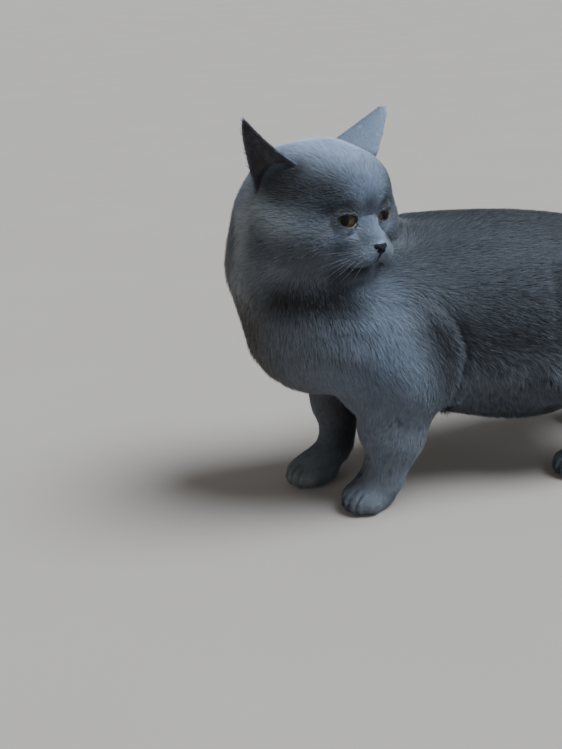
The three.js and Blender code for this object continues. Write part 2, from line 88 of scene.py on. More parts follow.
def eye_in_head(side):
    """The middle of an eyeball, in the head's frame."""
    out = EYE_OUT - EYE_RADIUS * math.cos(EYE_SPLAY)
    aside = EYE_ASIDE - EYE_RADIUS * math.sin(EYE_SPLAY)
    return Vector((out, side * aside, 0))


packed_eye = sum(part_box("eye_left"), Vector()) / 2
SHIFT = packed_eye - (HEAD_PLACE + HEAD_TURN @ eye_in_head(LEFT))
HEAD_TO_ROW = Matrix.Translation(HEAD_PLACE + SHIFT) @ HEAD_TURN.to_4x4()
EYE_MIDDLES = {side: np.array(eye_in_head(side)) / MM for side in SIDES}


def in_body(points):
    """Millimetres in the body's frame, as metres in the row's frame."""
    return np.asarray(points, float) * MM + np.array(SHIFT)


def in_head(points):
    """Millimetres in the head's frame, as metres in the row's frame."""
    turn = np.array(HEAD_TURN)
    return np.asarray(points, float) * MM @ turn.T + np.array(HEAD_PLACE + SHIFT)


def to_head(points):
    """Metres in the row's frame, as millimetres in the head's frame."""
    return (np.asarray(points, float) - np.array(HEAD_PLACE + SHIFT)) @ np.array(HEAD_TURN) / MM


def to_body(points):
    """Metres in the row's frame, as millimetres in the body's frame."""
    return (np.asarray(points, float) - np.array(SHIFT)) / MM


def on_side(places, side):
    """Places that are given for the cat's left, on the side asked for."""
    return np.array(places, float) * (1, side, 1)


print("the packed model is shifted by", [round(c / MM, 2) for c in SHIFT], "mm")

# %% [markdown]
# The camera stands where a person crouching beside the cat would hold it. Its lens comes from a
# focal length in pixels, so the picture has to be 562 by 749.

# %% Place the camera
FOCAL_PIXELS = 1000
PICTURE_HEIGHT = 749
SENSOR = 36
CAMERA_PLACE = (300.95, 764.42, 429.0)


def in_scene(name, data):
    """A new object in the scene."""
    made = bpy.data.objects.new(name, data)
    bpy.context.scene.collection.objects.link(made)
    return made


look = Vector((-0.2886, -0.8882, -0.3576)).normalized()
up = Vector((-0.1512, -0.3265, 0.9330))
right = look.cross(up).normalized()
up = right.cross(look)
camera_turn = Matrix((right, up, -look)).transposed().to_4x4()
camera_data = bpy.data.cameras.new("camera")
camera_data.sensor_fit = "VERTICAL"
camera_data.sensor_height = SENSOR
camera_data.lens = SENSOR * FOCAL_PIXELS / PICTURE_HEIGHT
camera_data.clip_start = 0.02
camera = in_scene("camera", camera_data)
camera.matrix_world = Matrix.Translation(in_body(CAMERA_PLACE)) @ camera_turn
bpy.context.scene.camera = camera
print("lens", round(camera_data.lens, 2), "mm")

# %% [markdown]
# Shader maths reads best as plain expressions. `Value` wraps one socket, and the operators that
# the materials below use each add their Math node. `Shader` makes every other node in one way:
# its type, its settings, and what goes into its sockets.


# %% A small language for materials
class Value:
    """A number in a material, on which + - * / and ** work."""

    def __init__(self, shader, socket):
        self.shader, self.socket = shader, socket

    def _math(self, operation, first, second, clamp=False):
        settings = {"operation": operation, "use_clamp": clamp}
        return self.shader.node("ShaderNodeMath", settings, {0: first, 1: second})

    def __add__(self, other):
        return self._math("ADD", self, other)

    def __sub__(self, other):
        return self._math("SUBTRACT", self, other)

    def __rsub__(self, other):
        return self._math("SUBTRACT", other, self)

    def __mul__(self, other):
        return self._math("MULTIPLY", self, other)

    def __truediv__(self, other):
        return self._math("DIVIDE", self, other)

    def __pow__(self, other):
        return self._math("POWER", self, other)

    __radd__ = __add__
    __rmul__ = __mul__

    def between(self, low, high):
        """0 at low, 1 at high, and an even slope between them."""
        return self._math("MULTIPLY", (self - low) / (high - low), 1, clamp=True)


class Shader:
    """A new Principled material and what makes its nodes."""

    def __init__(self, name, **constants):
        self.material = bpy.data.materials.new(name)
        self.material.use_nodes = True
        self.tree = self.material.node_tree
        self.surface = self.tree.nodes["Principled BSDF"]
        for socket, value in constants.items():
            self.surface.inputs[socket.replace("_", " ")].default_value = value

    def node(self, kind, settings=None, inputs=None, out=0):
        made = self.tree.nodes.new(kind)
        for name, value in (settings or {}).items():
            setattr(made, name, value)
        for name, value in (inputs or {}).items():
            if isinstance(value, Value):
                self.tree.links.new(value.socket, made.inputs[name])
            else:
                made.inputs[name].default_value = value
        return Value(self, made.outputs[out])

    def attribute(self, name, out="Fac"):
        return self.node("ShaderNodeAttribute", {"attribute_name": name}, out=out)

    def place(self):
        return self.node("ShaderNodeTexCoord", out="Object")

    def noise(self, scale, detail, vector=None):
        inputs = {"Vector": vector or self.place(), "Scale": scale, "Detail": detail}
        return self.node("ShaderNodeTexNoise", {}, inputs)

    def mixed(self, share, first, second, blend="MIX"):
        """Two colours mixed. A plain colour is three numbers."""
        first, second = (c if isinstance(c, Value) else (*c, 1) for c in (first, second))
        settings = {"data_type": "RGBA", "blend_type": blend, "clamp_factor": True}
        return self.node("ShaderNodeMix", settings, {0: share, 6: first, 7: second}, out=2)

    def layered(self, colour, *layers):
        """A colour under layers of others, each with its share."""
        for share, over in layers:
            colour = self.mixed(share, colour, over)
        return colour

    def bump(self, height, depth, strength):
        inputs = {"Strength": strength, "Distance": depth, "Height": height}
        return self.node("ShaderNodeBump", {}, inputs)

    def feed(self, **links):
        for socket, value in links.items():
            self.tree.links.new(value.socket, self.surface.inputs[socket.replace("_", " ")])
        return self.material


def paint(red, green, blue):
    """A screen colour from 0 to 255, as the linear colour that materials use."""
    return np.array([((c / 255 + 0.055) / 1.055) ** 2.4 for c in (red, green, blue)])


print("materials can be written as expressions")

# %% [markdown]
# A plain pale floor and soft light show the coat plainly. One wide sun shines from above and a
# little behind, as a window does, so that the crown, the back and the shoulder catch the light,
# and it lights the floor evenly however far it goes. A weak sun beside the camera and a grey
# world keep the shadows open, and a cool one low behind the head draws a thin line of light along
# the far cheek. Far away the floor curves up, so that its edge never shows as a line.

# %% Lay the floor and hang the lamps
FLOOR_HALF = 40
FLAT_FLOOR = 4  # how far from the cat the floor stays flat
FLOOR_RISE = 0.006
SKY = 0.24
LAMPS = {  # strength, angle across in degrees, colour, place and target
    "window": (6, 34, (0.9, 0.96, 1), (-0.74, 0.5, 1.92), (0.1, 0, 0.2)),
    "fill": (0.9, 60, (1, 0.95, 0.88), (1.5, 0.7, 0.55), (0.1, 0, 0.15)),
    "rim": (1.2, 45, (0.88, 0.94, 1), (-1.5, 0.35, 0.75), (0.1, 0, 0.15)),
}


def as_mesh(shape, name):
    """A bmesh written to a new mesh, and freed."""
    mesh = bpy.data.meshes.new(name)
    shape.to_mesh(mesh)
    shape.free()
    return mesh


def finish_mesh(mesh, material):
    """Gives a mesh its material and smooth shading."""
    mesh.materials.clear()
    mesh.materials.append(material)
    mesh.polygons.foreach_set("use_smooth", np.ones(len(mesh.polygons), bool))


floor_paint = Shader("pale_floor", Roughness=0.7, Specular_IOR_Level=0.2)
cloudy = floor_paint.noise(3, 4)
floor_paint.feed(Base_Color=floor_paint.mixed(cloudy, (0.3, 0.28, 0.265), (0.335, 0.315, 0.3)))
slab = bmesh.new()
bmesh.ops.create_grid(slab, x_segments=60, y_segments=60, size=FLOOR_HALF)
for vertex in slab.verts:
    vertex.co.z = FLOOR_RISE * max(vertex.co.length - FLAT_FLOOR, 0) ** 2
floor = in_scene("floor", as_mesh(slab, "floor"))
finish_mesh(floor.data, floor_paint.material)
floor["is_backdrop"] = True

for name, (energy, across, colour, place, target) in LAMPS.items():
    lamp = bpy.data.lights.new(name, "SUN")
    lamp.energy, lamp.angle, lamp.color = energy, math.radians(across), colour
    turn = (Vector(target) - Vector(place)).to_track_quat("-Z", "Y").to_matrix().to_4x4()
    in_scene(name, lamp).matrix_world = Matrix.Translation(place) @ turn
world = bpy.data.worlds.new("room")
world.use_nodes = True
sky = world.node_tree.nodes["Background"].inputs
sky["Color"].default_value = (1, 0.98, 0.96, 1)
sky["Strength"].default_value = SKY
bpy.context.scene.world = world
print(len(LAMPS), "suns and a grey sky")

# %% [markdown]
# A coat has a lie: it runs back from the nose, down the breast and legs, and along the trunk to
# the tail. It could be combed by hand, but a short table does it as well. Each line of the table
# is a stroke over the body, from one place to another, with what the coat is like along it: the
# depth of the coat over the skin, the length and width of its hairs in millimetres, and how many
# grow on a square millimetre. A limb's strokes run down its middle and give its radius too. Any
# other place takes its values from the strokes near it. A stroke on both sides is given for the
# cat's left.

# %% Map the coat over the body
BOTH, ONE = (LEFT, RIGHT), (LEFT,)
HEAD_MAP = [
    (ONE, (17, 0, -13), (4, 0, 6), 0.7, 3.2, 0.28, 4),  # bridge of the nose
    (ONE, (5, 0, 10), (-14, 0, 42), 1.8, 5.5, 0.32, 3),  # forehead
    (ONE, (-24, 0, 50), (-92, 0, 38), 4, 9, 0.38, 2.4),  # crown
    (ONE, (-96, 0, 30), (-106, 0, -25), 6, 12, 0.42, 2),  # back of the head
    (BOTH, (17, 6, -25), (3, 24, -30), 0.8, 3.6, 0.28, 3.6),  # lips
    (BOTH, (4, 13, -12), (-22, 50, -14), 2, 5.5, 0.32, 2.8),  # under the eye
    (BOTH, (4, 12, 11), (-16, 46, 16), 1.5, 4.6, 0.32, 3),  # brow
    (BOTH, (-24, 42, 26), (-70, 46, 30), 3, 8, 0.36, 2.4),  # by the ear
    (BOTH, (-18, 52, -22), (-62, 62, -34), 5.5, 11, 0.4, 2),  # jowl
    (BOTH, (-40, 56, 2), (-88, 48, -8), 5, 10, 0.4, 2),  # behind the cheek
    (ONE, (9, 0, -42), (-16, 0, -50), 1.5, 4.5, 0.3, 3),  # chin
]
BODY_MAP = [
    (ONE, (84, -14, 252), (90, -12, 196), 6.5, 12, 0.42, 1.9),  # front of the neck
    (ONE, (34, 44, 216), (24, 60, 176), 6, 11, 0.42, 1.9),  # left of the neck
    (ONE, (30, -70, 250), (16, -70, 190), 6.5, 12, 0.42, 1.9),  # right of the neck
    (ONE, (-18, -14, 262), (-52, -4, 250), 6, 12, 0.42, 1.8),  # nape
    (ONE, (90, -10, 190), (62, -8, 112), 7, 13, 0.44, 1.8),  # breast
    (ONE, (52, -8, 98), (-30, 0, 82), 6, 13, 0.46, 1.6),  # between the forelegs
    (ONE, (-50, 0, 250), (-245, 0, 236), 4.5, 11, 0.42, 1.7),  # back
    (ONE, (-250, 0, 234), (-318, 0, 190), 5, 12, 0.44, 1.6),  # rump
    (BOTH, (-318, 24, 170), (-312, 30, 110), 6, 14, 0.46, 1.5),  # back of the thigh
    (BOTH, (-30, 56, 214), (-225, 62, 198), 5, 12, 0.42, 1.7),  # upper flank
    (BOTH, (-80, 72, 160), (-190, 76, 130), 6, 13, 0.44, 1.6),  # flank
    (BOTH, (-78, 64, 116), (-90, 54, 74), 7.5, 16, 0.5, 1.5),  # lower flank, in three
    (BOTH, (-125, 66, 112), (-138, 54, 66), 7.5, 16, 0.5, 1.5),
    (BOTH, (-172, 66, 112), (-186, 52, 60), 7.5, 16, 0.5, 1.5),
    (ONE, (-60, 0, 76), (-215, 0, 50), 7.5, 16, 0.5, 1.4),  # belly
    (BOTH, (22, 62, 206), (-22, 72, 130), 5, 11, 0.4, 1.9),  # shoulder
    (BOTH, (-50, 68, 190), (-80, 66, 108), 5.5, 12, 0.42, 1.8),  # behind the upper arm
    (BOTH, (-58, 36, 104), (-48, 28, 90), 1.5, 6, 0.36, 1.8),  # armpit
    (BOTH, (-250, 66, 200), (-232, 74, 136), 6, 13, 0.44, 1.6),  # thigh, in two
    (BOTH, (-262, 68, 180), (-290, 60, 120), 6, 13, 0.44, 1.6),
]
LEGS = [  # joints, radii, depths and lengths of the coat, and the tip of the toes
    ([(-50, 46, 104), (-28, 39, 40), (-26, 39, 22)], (24, 18), (3, 1.6), (8, 6), (6, 46, 8)),
    ([(-24, -44, 104), (-12, -35, 40), (-8, -33, 22)], (22, 16), (2.8, 1.5), (8, 6), (34, -20, 8)),
    ([(-204, 54, 100), (-280, 51, 74), (-244, 48, 20)], (25, 16), (4, 2), (11, 7), (-198, 57, 8)),
    (
        [(-250, -46, 108), (-338, -46, 78), (-320, -44, 20)],
        *((25, 16), (4, 2), (11, 7), (-276, -46, 8)),
    ),
]
LEG_COAT = (0.36, 2.2)  # width and number
PAW_COAT = (0.8, 3.6, 0.3, 3, 13)  # the whole row, with the paw's radius
TAIL = [
    *((-296, 0, 182), (-330, 0, 172), (-368, 2, 136)),
    *((-394, 6, 92), (-426, 12, 58), (-470, 18, 50)),
]
TAIL_COAT = (5, 12, 0.44, 1.6, 19)
REACH = 5 * MM  # under this, strokes share a point evenly
STROKES = []


def stroke(frame_of, sides, start, end, depth, length, width, count, radius=0):
    """Adds one line to the map of the coat."""
    for side in sides:
        ends = frame_of(on_side((start, end), side))
        STROKES.append((*ends, radius * MM, depth, length, width, count))


for row in HEAD_MAP:
    stroke(in_head, *row)
for row in BODY_MAP:
    stroke(in_body, *row)
for joints, radii, depths, lengths, toe in LEGS:
    for start, end, radius, depth, length in zip(joints, joints[1:], radii, depths, lengths):
        stroke(in_body, ONE, start, end, depth, length, *LEG_COAT, radius)
    stroke(in_body, ONE, joints[-1], toe, *PAW_COAT)
for start, end in zip(TAIL, TAIL[1:]):
    stroke(in_body, ONE, start, end, *TAIL_COAT)
print(len(STROKES), "strokes in the map")


def foot_on(points, start, end):
    """The place on a stroke that is nearest to each point, and how far off it lies."""
    along = end - start
    share = np.clip((points - start) @ along / (along @ along), 0, 1)
    foot = start + share[:, None] * along
    return foot, np.linalg.norm(points - foot, axis=1)


def coat_map(points):
    """Depth, length and width of the coat in metres, hairs per square millimetre, and its lie."""
    total = np.zeros(len(points))
    values = np.zeros((len(points), 4))
    lie = np.zeros((len(points), 3))
    for start, end, radius, *about in STROKES:
        gap = foot_on(points, start, end)[1]
        weight = (np.maximum(gap - radius, 0) + REACH) ** -3.0
        total += weight
        values += weight[:, None] * np.array(about)
        lie += weight[:, None] * (end - start) / np.linalg.norm(end - start)
    values /= total[:, None]
    depth, length, width = (values[:, i] * MM for i in range(3))
    return depth, length, width, values[:, 3], lie


# %% [markdown]
# One skin covers the whole cat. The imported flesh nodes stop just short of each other, so copies
# of them are swelled by less than half a millimetre until they overlap, and a voxel remesh draws
# one closed surface round them all. The facets are then rubbed out by moving each point towards
# the middle of its neighbours, and back by nearly as much, which smooths without shrinking.

# %% Draw one skin round the flesh
FLESH = [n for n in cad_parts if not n.startswith("ear_")]
SWELL = 0.4 * MM
VOXEL = 2.7 * MM
SAME_PLACE = 1e-6


def swelled_copy(name, nodes, swell):
    """A mesh of the given nodes, each point moved out by a little."""
    body = bmesh.new()
    for node in nodes:
        body.from_mesh(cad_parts[node].data)
    bmesh.ops.remove_doubles(body, verts=body.verts, dist=SAME_PLACE)
    body.normal_update()
    for vertex in body.verts:
        vertex.co += vertex.normal * swell
    return as_mesh(body, name)


def made_mesh(holder):
    """The mesh that an object's modifiers or curves make, in place of the object."""
    graph = bpy.context.evaluated_depsgraph_get()
    mesh = bpy.data.meshes.new_from_object(holder.evaluated_get(graph))
    bpy.data.objects.remove(holder)
    return mesh


def remeshed(mesh, voxel):
    """A closed surface of even squares round a mesh."""
    holder = in_scene(mesh.name, mesh)
    remesh = holder.modifiers.new("remesh", "REMESH")
    remesh.mode = "VOXEL"
    remesh.voxel_size = voxel
    remesh.use_smooth_shade = True
    return made_mesh(holder)


def rows_of(items, field, width, kind=np.float32):
    """One field of all a mesh's points, edges or corners, a row of numbers each."""
    values = np.zeros(len(items) * width, kind)
    items.foreach_get(field, values)
    return values.reshape(-1, width)


def points_of(mesh):
    return rows_of(mesh.vertices, "co", 3).astype(float)


def normals_of(mesh):
    return rows_of(mesh.vertices, "normal", 3).astype(float)


def edges_of(mesh):
    return rows_of(mesh.edges, "vertices", 2, np.int32)


def set_points(mesh, places):
    mesh.vertices.foreach_set("co", places.ravel())
    mesh.update()


def neighbour_means(values, pairs):
    """Each point's mean over its neighbours."""
    a, b = pairs.T
    count = np.bincount(a, minlength=len(values)) + np.bincount(b, minlength=len(values))
    means = [
        np.bincount(a, column[b], len(values)) + np.bincount(b, column[a], len(values))
        for column in values.T
    ]
    return np.stack(means, 1) / count[:, None]


def worn(places, pairs, rounds, share=1.0):
    """Places drawn towards their neighbours, where share says how much each one takes."""
    strength = 0.5 * np.broadcast_to(np.asarray(share, float), len(places))[:, None]
    for _ in range(rounds):
        places = places + strength * (neighbour_means(places, pairs) - places)
    return places


def smoothed(places, pairs, rounds, share=1.0):
    """Places worn down, and then put back by nearly as much, which keeps their size."""
    soft = worn(places, pairs, rounds, share)
    return soft + worn(places - soft, pairs, rounds // 2)


skin = remeshed(swelled_copy("skin", FLESH, SWELL), VOXEL)
print("the skin has", len(skin.vertices), "points")

# %% [markdown]
# The face needs finer squares than the body, or the lids and lips would be ragged. Remeshing the
# whole cat that finely would make a million faces, so only the squares round the eyes, nose and
# mouth, and those of the toes, are divided. Smoothing is strong on the body and gentle on the
# face and paws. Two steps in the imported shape, at the top of the nose and in front of the thigh,
# are worn away with more rounds. Then the skin sinks by the depth of the coat that will stand on
# it.

# %% Divide the face, smooth the skin and sink it under its coat
FACE_MIDDLE, FACE_FADE, FACE_FINE = (4, 0, -16), (28, 60), 36
FACE_WIDE = (1, 0.85, 1)  # the finer part of the face is wider than high
MUZZLE_MIDDLE, MUZZLE_FINE = (12, 0, -30), 19
EYE_CORNER, EYE_FINE = (10, 2.5, 0), 14  # out and aside from the middle of the eyeball
BRIDGE_TOP, BRIDGE_FADE, BRIDGE_WEAR = (5, 0, 1), (9, 18), (8, 17)
THIGH_EDGE, THIGH_FADE = np.array((-216, 0, 188)), (14, 34)
THIGH_SIDE = (44, 58)  # the edge fades out towards the middle of the body
UPRIGHT = np.array((1, 0, 0.55))  # on the thigh's edge, heights count for about half
TOE_HEIGHT, PAW_HEIGHT = 26, 48
ROUNDS = {"skin": 26, "thigh": 110, "bridge": 14, "divided": 3, "sunk": 2}
FACE_SHARE, BRIDGE_SHARE, PAW_LOSS = 0.06, 0.9, 0.93  # what smoothing each part takes or loses


def divide_near(mesh, near):
    """Cuts the squares whose points are all near into four."""
    body = bmesh.new()
    body.from_mesh(mesh)
    chosen = [e for e in body.edges if near[e.verts[0].index] and near[e.verts[1].index]]
    bmesh.ops.subdivide_edges(body, edges=chosen, cuts=1, use_grid_fill=True)
    body.to_mesh(mesh)
    body.free()


def gaps(points, middle):
    return np.linalg.norm(points - middle, axis=1)


def fade(values, low, high):
    """0 below low, 1 above high, and a soft step between them."""
    t = np.clip((values - low) / (high - low), 0, 1)
    return t * t * (3 - 2 * t)


def hump(values, width, middle=0, power=2):
    """1 at the middle, and a soft fall to 0 on both sides."""
    return np.exp(-(((values - middle) / width) ** power))


places = points_of(skin)
pairs = edges_of(skin)
head_mm, body_mm = to_head(places), to_body(places)
off_face = fade(gaps(head_mm, FACE_MIDDLE), *FACE_FADE)
on_bridge = 1 - fade(gaps(head_mm, BRIDGE_TOP), *BRIDGE_FADE)
on_paw = 1 - fade(body_mm[:, 2], TOE_HEIGHT, PAW_HEIGHT)
share = np.maximum(FACE_SHARE + (1 - FACE_SHARE) * off_face, BRIDGE_SHARE * on_bridge)
places = smoothed(places, pairs, ROUNDS["skin"], np.minimum(share, 1 - PAW_LOSS * on_paw))
body_mm = to_body(places)
at_thigh = 1 - fade(gaps(body_mm * UPRIGHT, THIGH_EDGE * UPRIGHT), *THIGH_FADE)
at_thigh *= fade(np.abs(body_mm[:, 1]), *THIGH_SIDE)
places = worn(places, pairs, ROUNDS["thigh"], at_thigh)
on_bridge = 1 - fade(gaps(head_mm, BRIDGE_TOP), *BRIDGE_WEAR)
set_points(skin, worn(places, pairs, ROUNDS["bridge"], on_bridge))

head_mm = to_head(points_of(skin))
on_toes = to_body(points_of(skin))[:, 2] < TOE_HEIGHT
divide_near(skin, (gaps(head_mm * FACE_WIDE, FACE_MIDDLE) < FACE_FINE) | on_toes)
head_mm = to_head(points_of(skin))
by_eye = np.minimum(*(gaps(head_mm, EYE_MIDDLES[s] + on_side(EYE_CORNER, s)) for s in SIDES))
divide_near(skin, (by_eye < EYE_FINE) | (gaps(head_mm, MUZZLE_MIDDLE) < MUZZLE_FINE))
pairs = edges_of(skin)
places = smoothed(points_of(skin), pairs, ROUNDS["divided"])
set_points(skin, places)
depth = coat_map(places)[0]
places = places - neighbour_means(normals_of(skin), pairs) * depth[:, None]
set_points(skin, smoothed(places, pairs, ROUNDS["sunk"]))
print("the skin has", len(skin.vertices), "points, up to", round(depth.max() / MM, 1), "mm deep")

# %% [markdown]
# The skin has folds of its own. Behind each upper arm it slides over the ribs in a long lip, the
# mouth is a groove that splits under the nose, and three short grooves part the four toes of each
# paw. They could be sculpted by hand, but strokes do it here too: points near a stroke are pushed
# in, and those beside it swell out. The pads of the whiskers and the cheekbones swell as well.

# %% Press in the elbow folds, the mouth and the toes
ELBOW_FOLD = [(-48, 214), (-60, 190), (-78, 163), (-84, 146), (-82, 126), (-75, 98)]
ELBOW_LIP, ELBOW_CREASE = (2.6, 6, -6), (3.6, 4.5, 3)  # height, width and place behind the fold
FOLD_AHEAD = {LEFT: 0, RIGHT: 26}  # the right foreleg stands further forward
MOUTH = [(17, 0, -28), (14, 0, -34), (12, 5, -35.2), (9.5, 12, -36.2), (3, 18, -38.6)]
MOUTH.append((-3, 21, -38))  # the corner, turned up a little
MOUTH_GROOVE, MOUTH_SWELL = (2.6, 1.3), (0.5, 1.8, 3)  # depth and width, and the swelling's place
PADS = [((8, 12, -29), 6.5, 1.5), ((2, 20, -14), 8, 3.4)]  # middle, width and height
PAWS = [((-13, 38), 26, 1), ((15, -28), 22, 1), ((-222, 52), 12, 0.94), ((-300, -45), -4, 0.94)]
TOE_SPACING = 7.6
TOE_GROOVE, TOE_SWELL = 3, 1.2


def nearest_on(points, line):
    """The place on a line of strokes that is nearest to each point, and how far off it lies."""
    line = np.asarray(line, float)
    feet, spans = zip(*(foot_on(points, start, end) for start, end in zip(line, line[1:])))
    nearest = np.argmin(spans, axis=0)
    each = np.arange(len(points))
    return np.array(feet)[nearest, each], np.array(spans)[nearest, each]


def press_elbow_fold(places, normals, side):
    """A lip of skin behind the upper arm. The fold is measured along the flank only."""
    body_mm = to_body(places)
    flat = body_mm * (1, 0, 1)
    foot, gap = nearest_on(flat, [(x + FOLD_AHEAD[side], 0, z) for x, z in ELBOW_FOLD])
    behind = np.sign(foot[:, 0] - flat[:, 0]) * gap
    fold = ELBOW_LIP[0] * hump(behind, *ELBOW_LIP[1:])
    fold -= ELBOW_CREASE[0] * hump(behind, *ELBOW_CREASE[1:])
    ends = fade(body_mm[:, 2], 205, 158) * fade(body_mm[:, 2], 92, 122) * fade(gap, 26, 10)
    on_flank = fade(body_mm[:, 1] * side, 38, 52)
    return places + normals * (fold * on_flank * ends * MM)[:, None]


def toe_grooves(places):
    """How deep each point is pressed between the toes, in millimetres."""
    body_mm = to_body(places)
    dent = np.zeros(len(places))
    for middle, heading, size in PAWS:
        turn = math.radians(heading)
        flat = (body_mm[:, :2] - middle) / size
        ahead = flat @ (math.cos(turn), math.sin(turn))
        across = flat @ (-math.sin(turn), math.cos(turn))
        on_toes = fade(ahead, 13, 22) * fade(body_mm[:, 2], TOE_HEIGHT, 18)
        on_toes *= (np.abs(across) < 24) & (ahead < 40)
        for groove in (-TOE_SPACING, 0, TOE_SPACING):
            aside = across - groove * (0.8 + 0.2 * fade(ahead, 5, 25))
            pressed = TOE_GROOVE * hump(aside, 1.5) - TOE_SWELL * hump(aside, 3.6, power=4)
            dent += on_toes * pressed
    return dent


places = points_of(skin)
normals = normals_of(skin)
for side in SIDES:
    places = press_elbow_fold(places, normals, side)
head_mm = to_head(places)
lip_gap = np.minimum(*(nearest_on(head_mm, on_side(MOUTH, side))[1] for side in SIDES))
groove = MOUTH_GROOVE[0] * hump(lip_gap, MOUTH_GROOVE[1])
groove -= MOUTH_SWELL[0] * hump(lip_gap, *MOUTH_SWELL[1:])
for side in SIDES:
    for middle, wide, high in PADS:
        groove -= high * hump(gaps(head_mm, on_side(middle, side)), wide)
groove += toe_grooves(places)
places = places - normals * (groove * MM)[:, None]
places[:, 2] = np.maximum(places[:, 2], 0)
set_points(skin, places)
bare = hump(lip_gap, 1.0)
print("folded behind both elbows; the deepest groove is", round(groove.max(), 1), "mm")

# %% [markdown]
# A lid is skin drawn over the eyeball, so it is made from the eyeball's own shape. Near the eye,
# each point of the skin is named by where it lies on the ball. Outside an almond opening it is
# lifted to just over the ball, and inside it drops behind the ball. Points beside the almond's
# edge are slid onto it, which gives a clean lid margin whatever the squares underneath do.

# %% Open the lids
EYE_MM = EYE_RADIUS / MM
OPENING = (8.7, 4.6, 6.0)  # half its width, and its height above and below the middle
OPENING_MIDDLE = np.array((-0.4, 0))  # a little towards the nose
LID = 0.7  # thickness of the lid's edge
SLANT = math.radians(9)
LID_REACH = 24  # how far from the middle of the ball the skin belongs to the lids
SLID = 0.34  # points nearer to the edge than this are slid onto it
DROP = 1.6  # how far behind the ball's front the skin hides


def eye_axes(side):
    """Out of the orbit, towards the outer corner, and up."""
    out = np.array((math.cos(EYE_SPLAY), side * math.sin(EYE_SPLAY), 0))
    across = np.array((-math.sin(EYE_SPLAY), side * math.cos(EYE_SPLAY), 0))
    slanted = across * math.cos(SLANT) + np.array((0, 0, 1.0)) * math.sin(SLANT)
    return out, slanted, np.cross(out, slanted) * side


def on_ball(flat, radius, side):
    """Places at (across, up) on a ball of the given radius about the eye."""
    x, y = (flat / EYE_MM).T
    parts = (np.cos(y) * np.cos(x), np.cos(y) * np.sin(x), np.sin(y))
    way = sum(part[:, None] * axis for part, axis in zip(parts, eye_axes(side)))
    return EYE_MIDDLES[side] + way * np.asarray(radius).reshape(-1, 1)


def almond(flat):
    """1 on the lid's edge, less inside the opening and more outside."""
    x = np.abs(flat[:, 0] - OPENING_MIDDLE[0]) / OPENING[0]
    y = np.abs(flat[:, 1]) / np.where(flat[:, 1] > 0, OPENING[1], OPENING[2])
    return (x**2.3 + y**2.1) ** (1 / 2.2)


def soft_max(first, second, soft):
    """The higher of two values, with the corner between them rounded."""
    near = np.maximum(soft - np.abs(first - second), 0) / soft
    return np.maximum(first, second) + near * near * soft / 4


def open_lid(places, bare, side):
    """Draws the skin over one eyeball, and tells how bare it is there."""
    from_middle = to_head(places) - EYE_MIDDLES[side]
    out, across, upward = eye_axes(side)
    radius = np.linalg.norm(from_middle, axis=1)
    way = from_middle / radius[:, None]
    turned = np.arctan2(way @ across, way @ out)
    raised = np.arcsin(np.clip(way @ upward, -1, 1))
    flat = np.stack((turned, raised), 1) * EYE_MM
    near = (radius < LID_REACH) & (way @ out > 0.1)
    edge = almond(flat)
    beyond = (edge - 1) * OPENING[1]
    on_edge = OPENING_MIDDLE + (flat - OPENING_MIDDLE) / edge[:, None]
    slid = np.where((np.abs(beyond) < SLID)[:, None], on_edge, flat)
    drawn = (EYE_MM + LID) + (radius - EYE_MM - LID) * fade(beyond, 0.3, 6)
    over = EYE_MM + 0.8 * LID - 0.012 * beyond**2
    lifted = soft_max(drawn, over, 1.6 + 3.4 * fade(beyond, 2, 5))
    new_radius = np.where(beyond > -SLID, lifted, EYE_MM - DROP)
    moved = in_head(on_ball(slid, new_radius, side))
    rim = np.where(near, 1 - fade(beyond, 0.5, 1.3), 0) * (0.4 + 0.6 * fade(flat[:, 1], -2, 1))
    return np.where(near[:, None], moved, places), np.maximum(bare, rim)


places = points_of(skin)
for side in SIDES:
    places, bare = open_lid(places, bare, side)
set_points(skin, places)
print("the lids are open", 2 * OPENING[0], "by", OPENING[1] + OPENING[2], "mm")
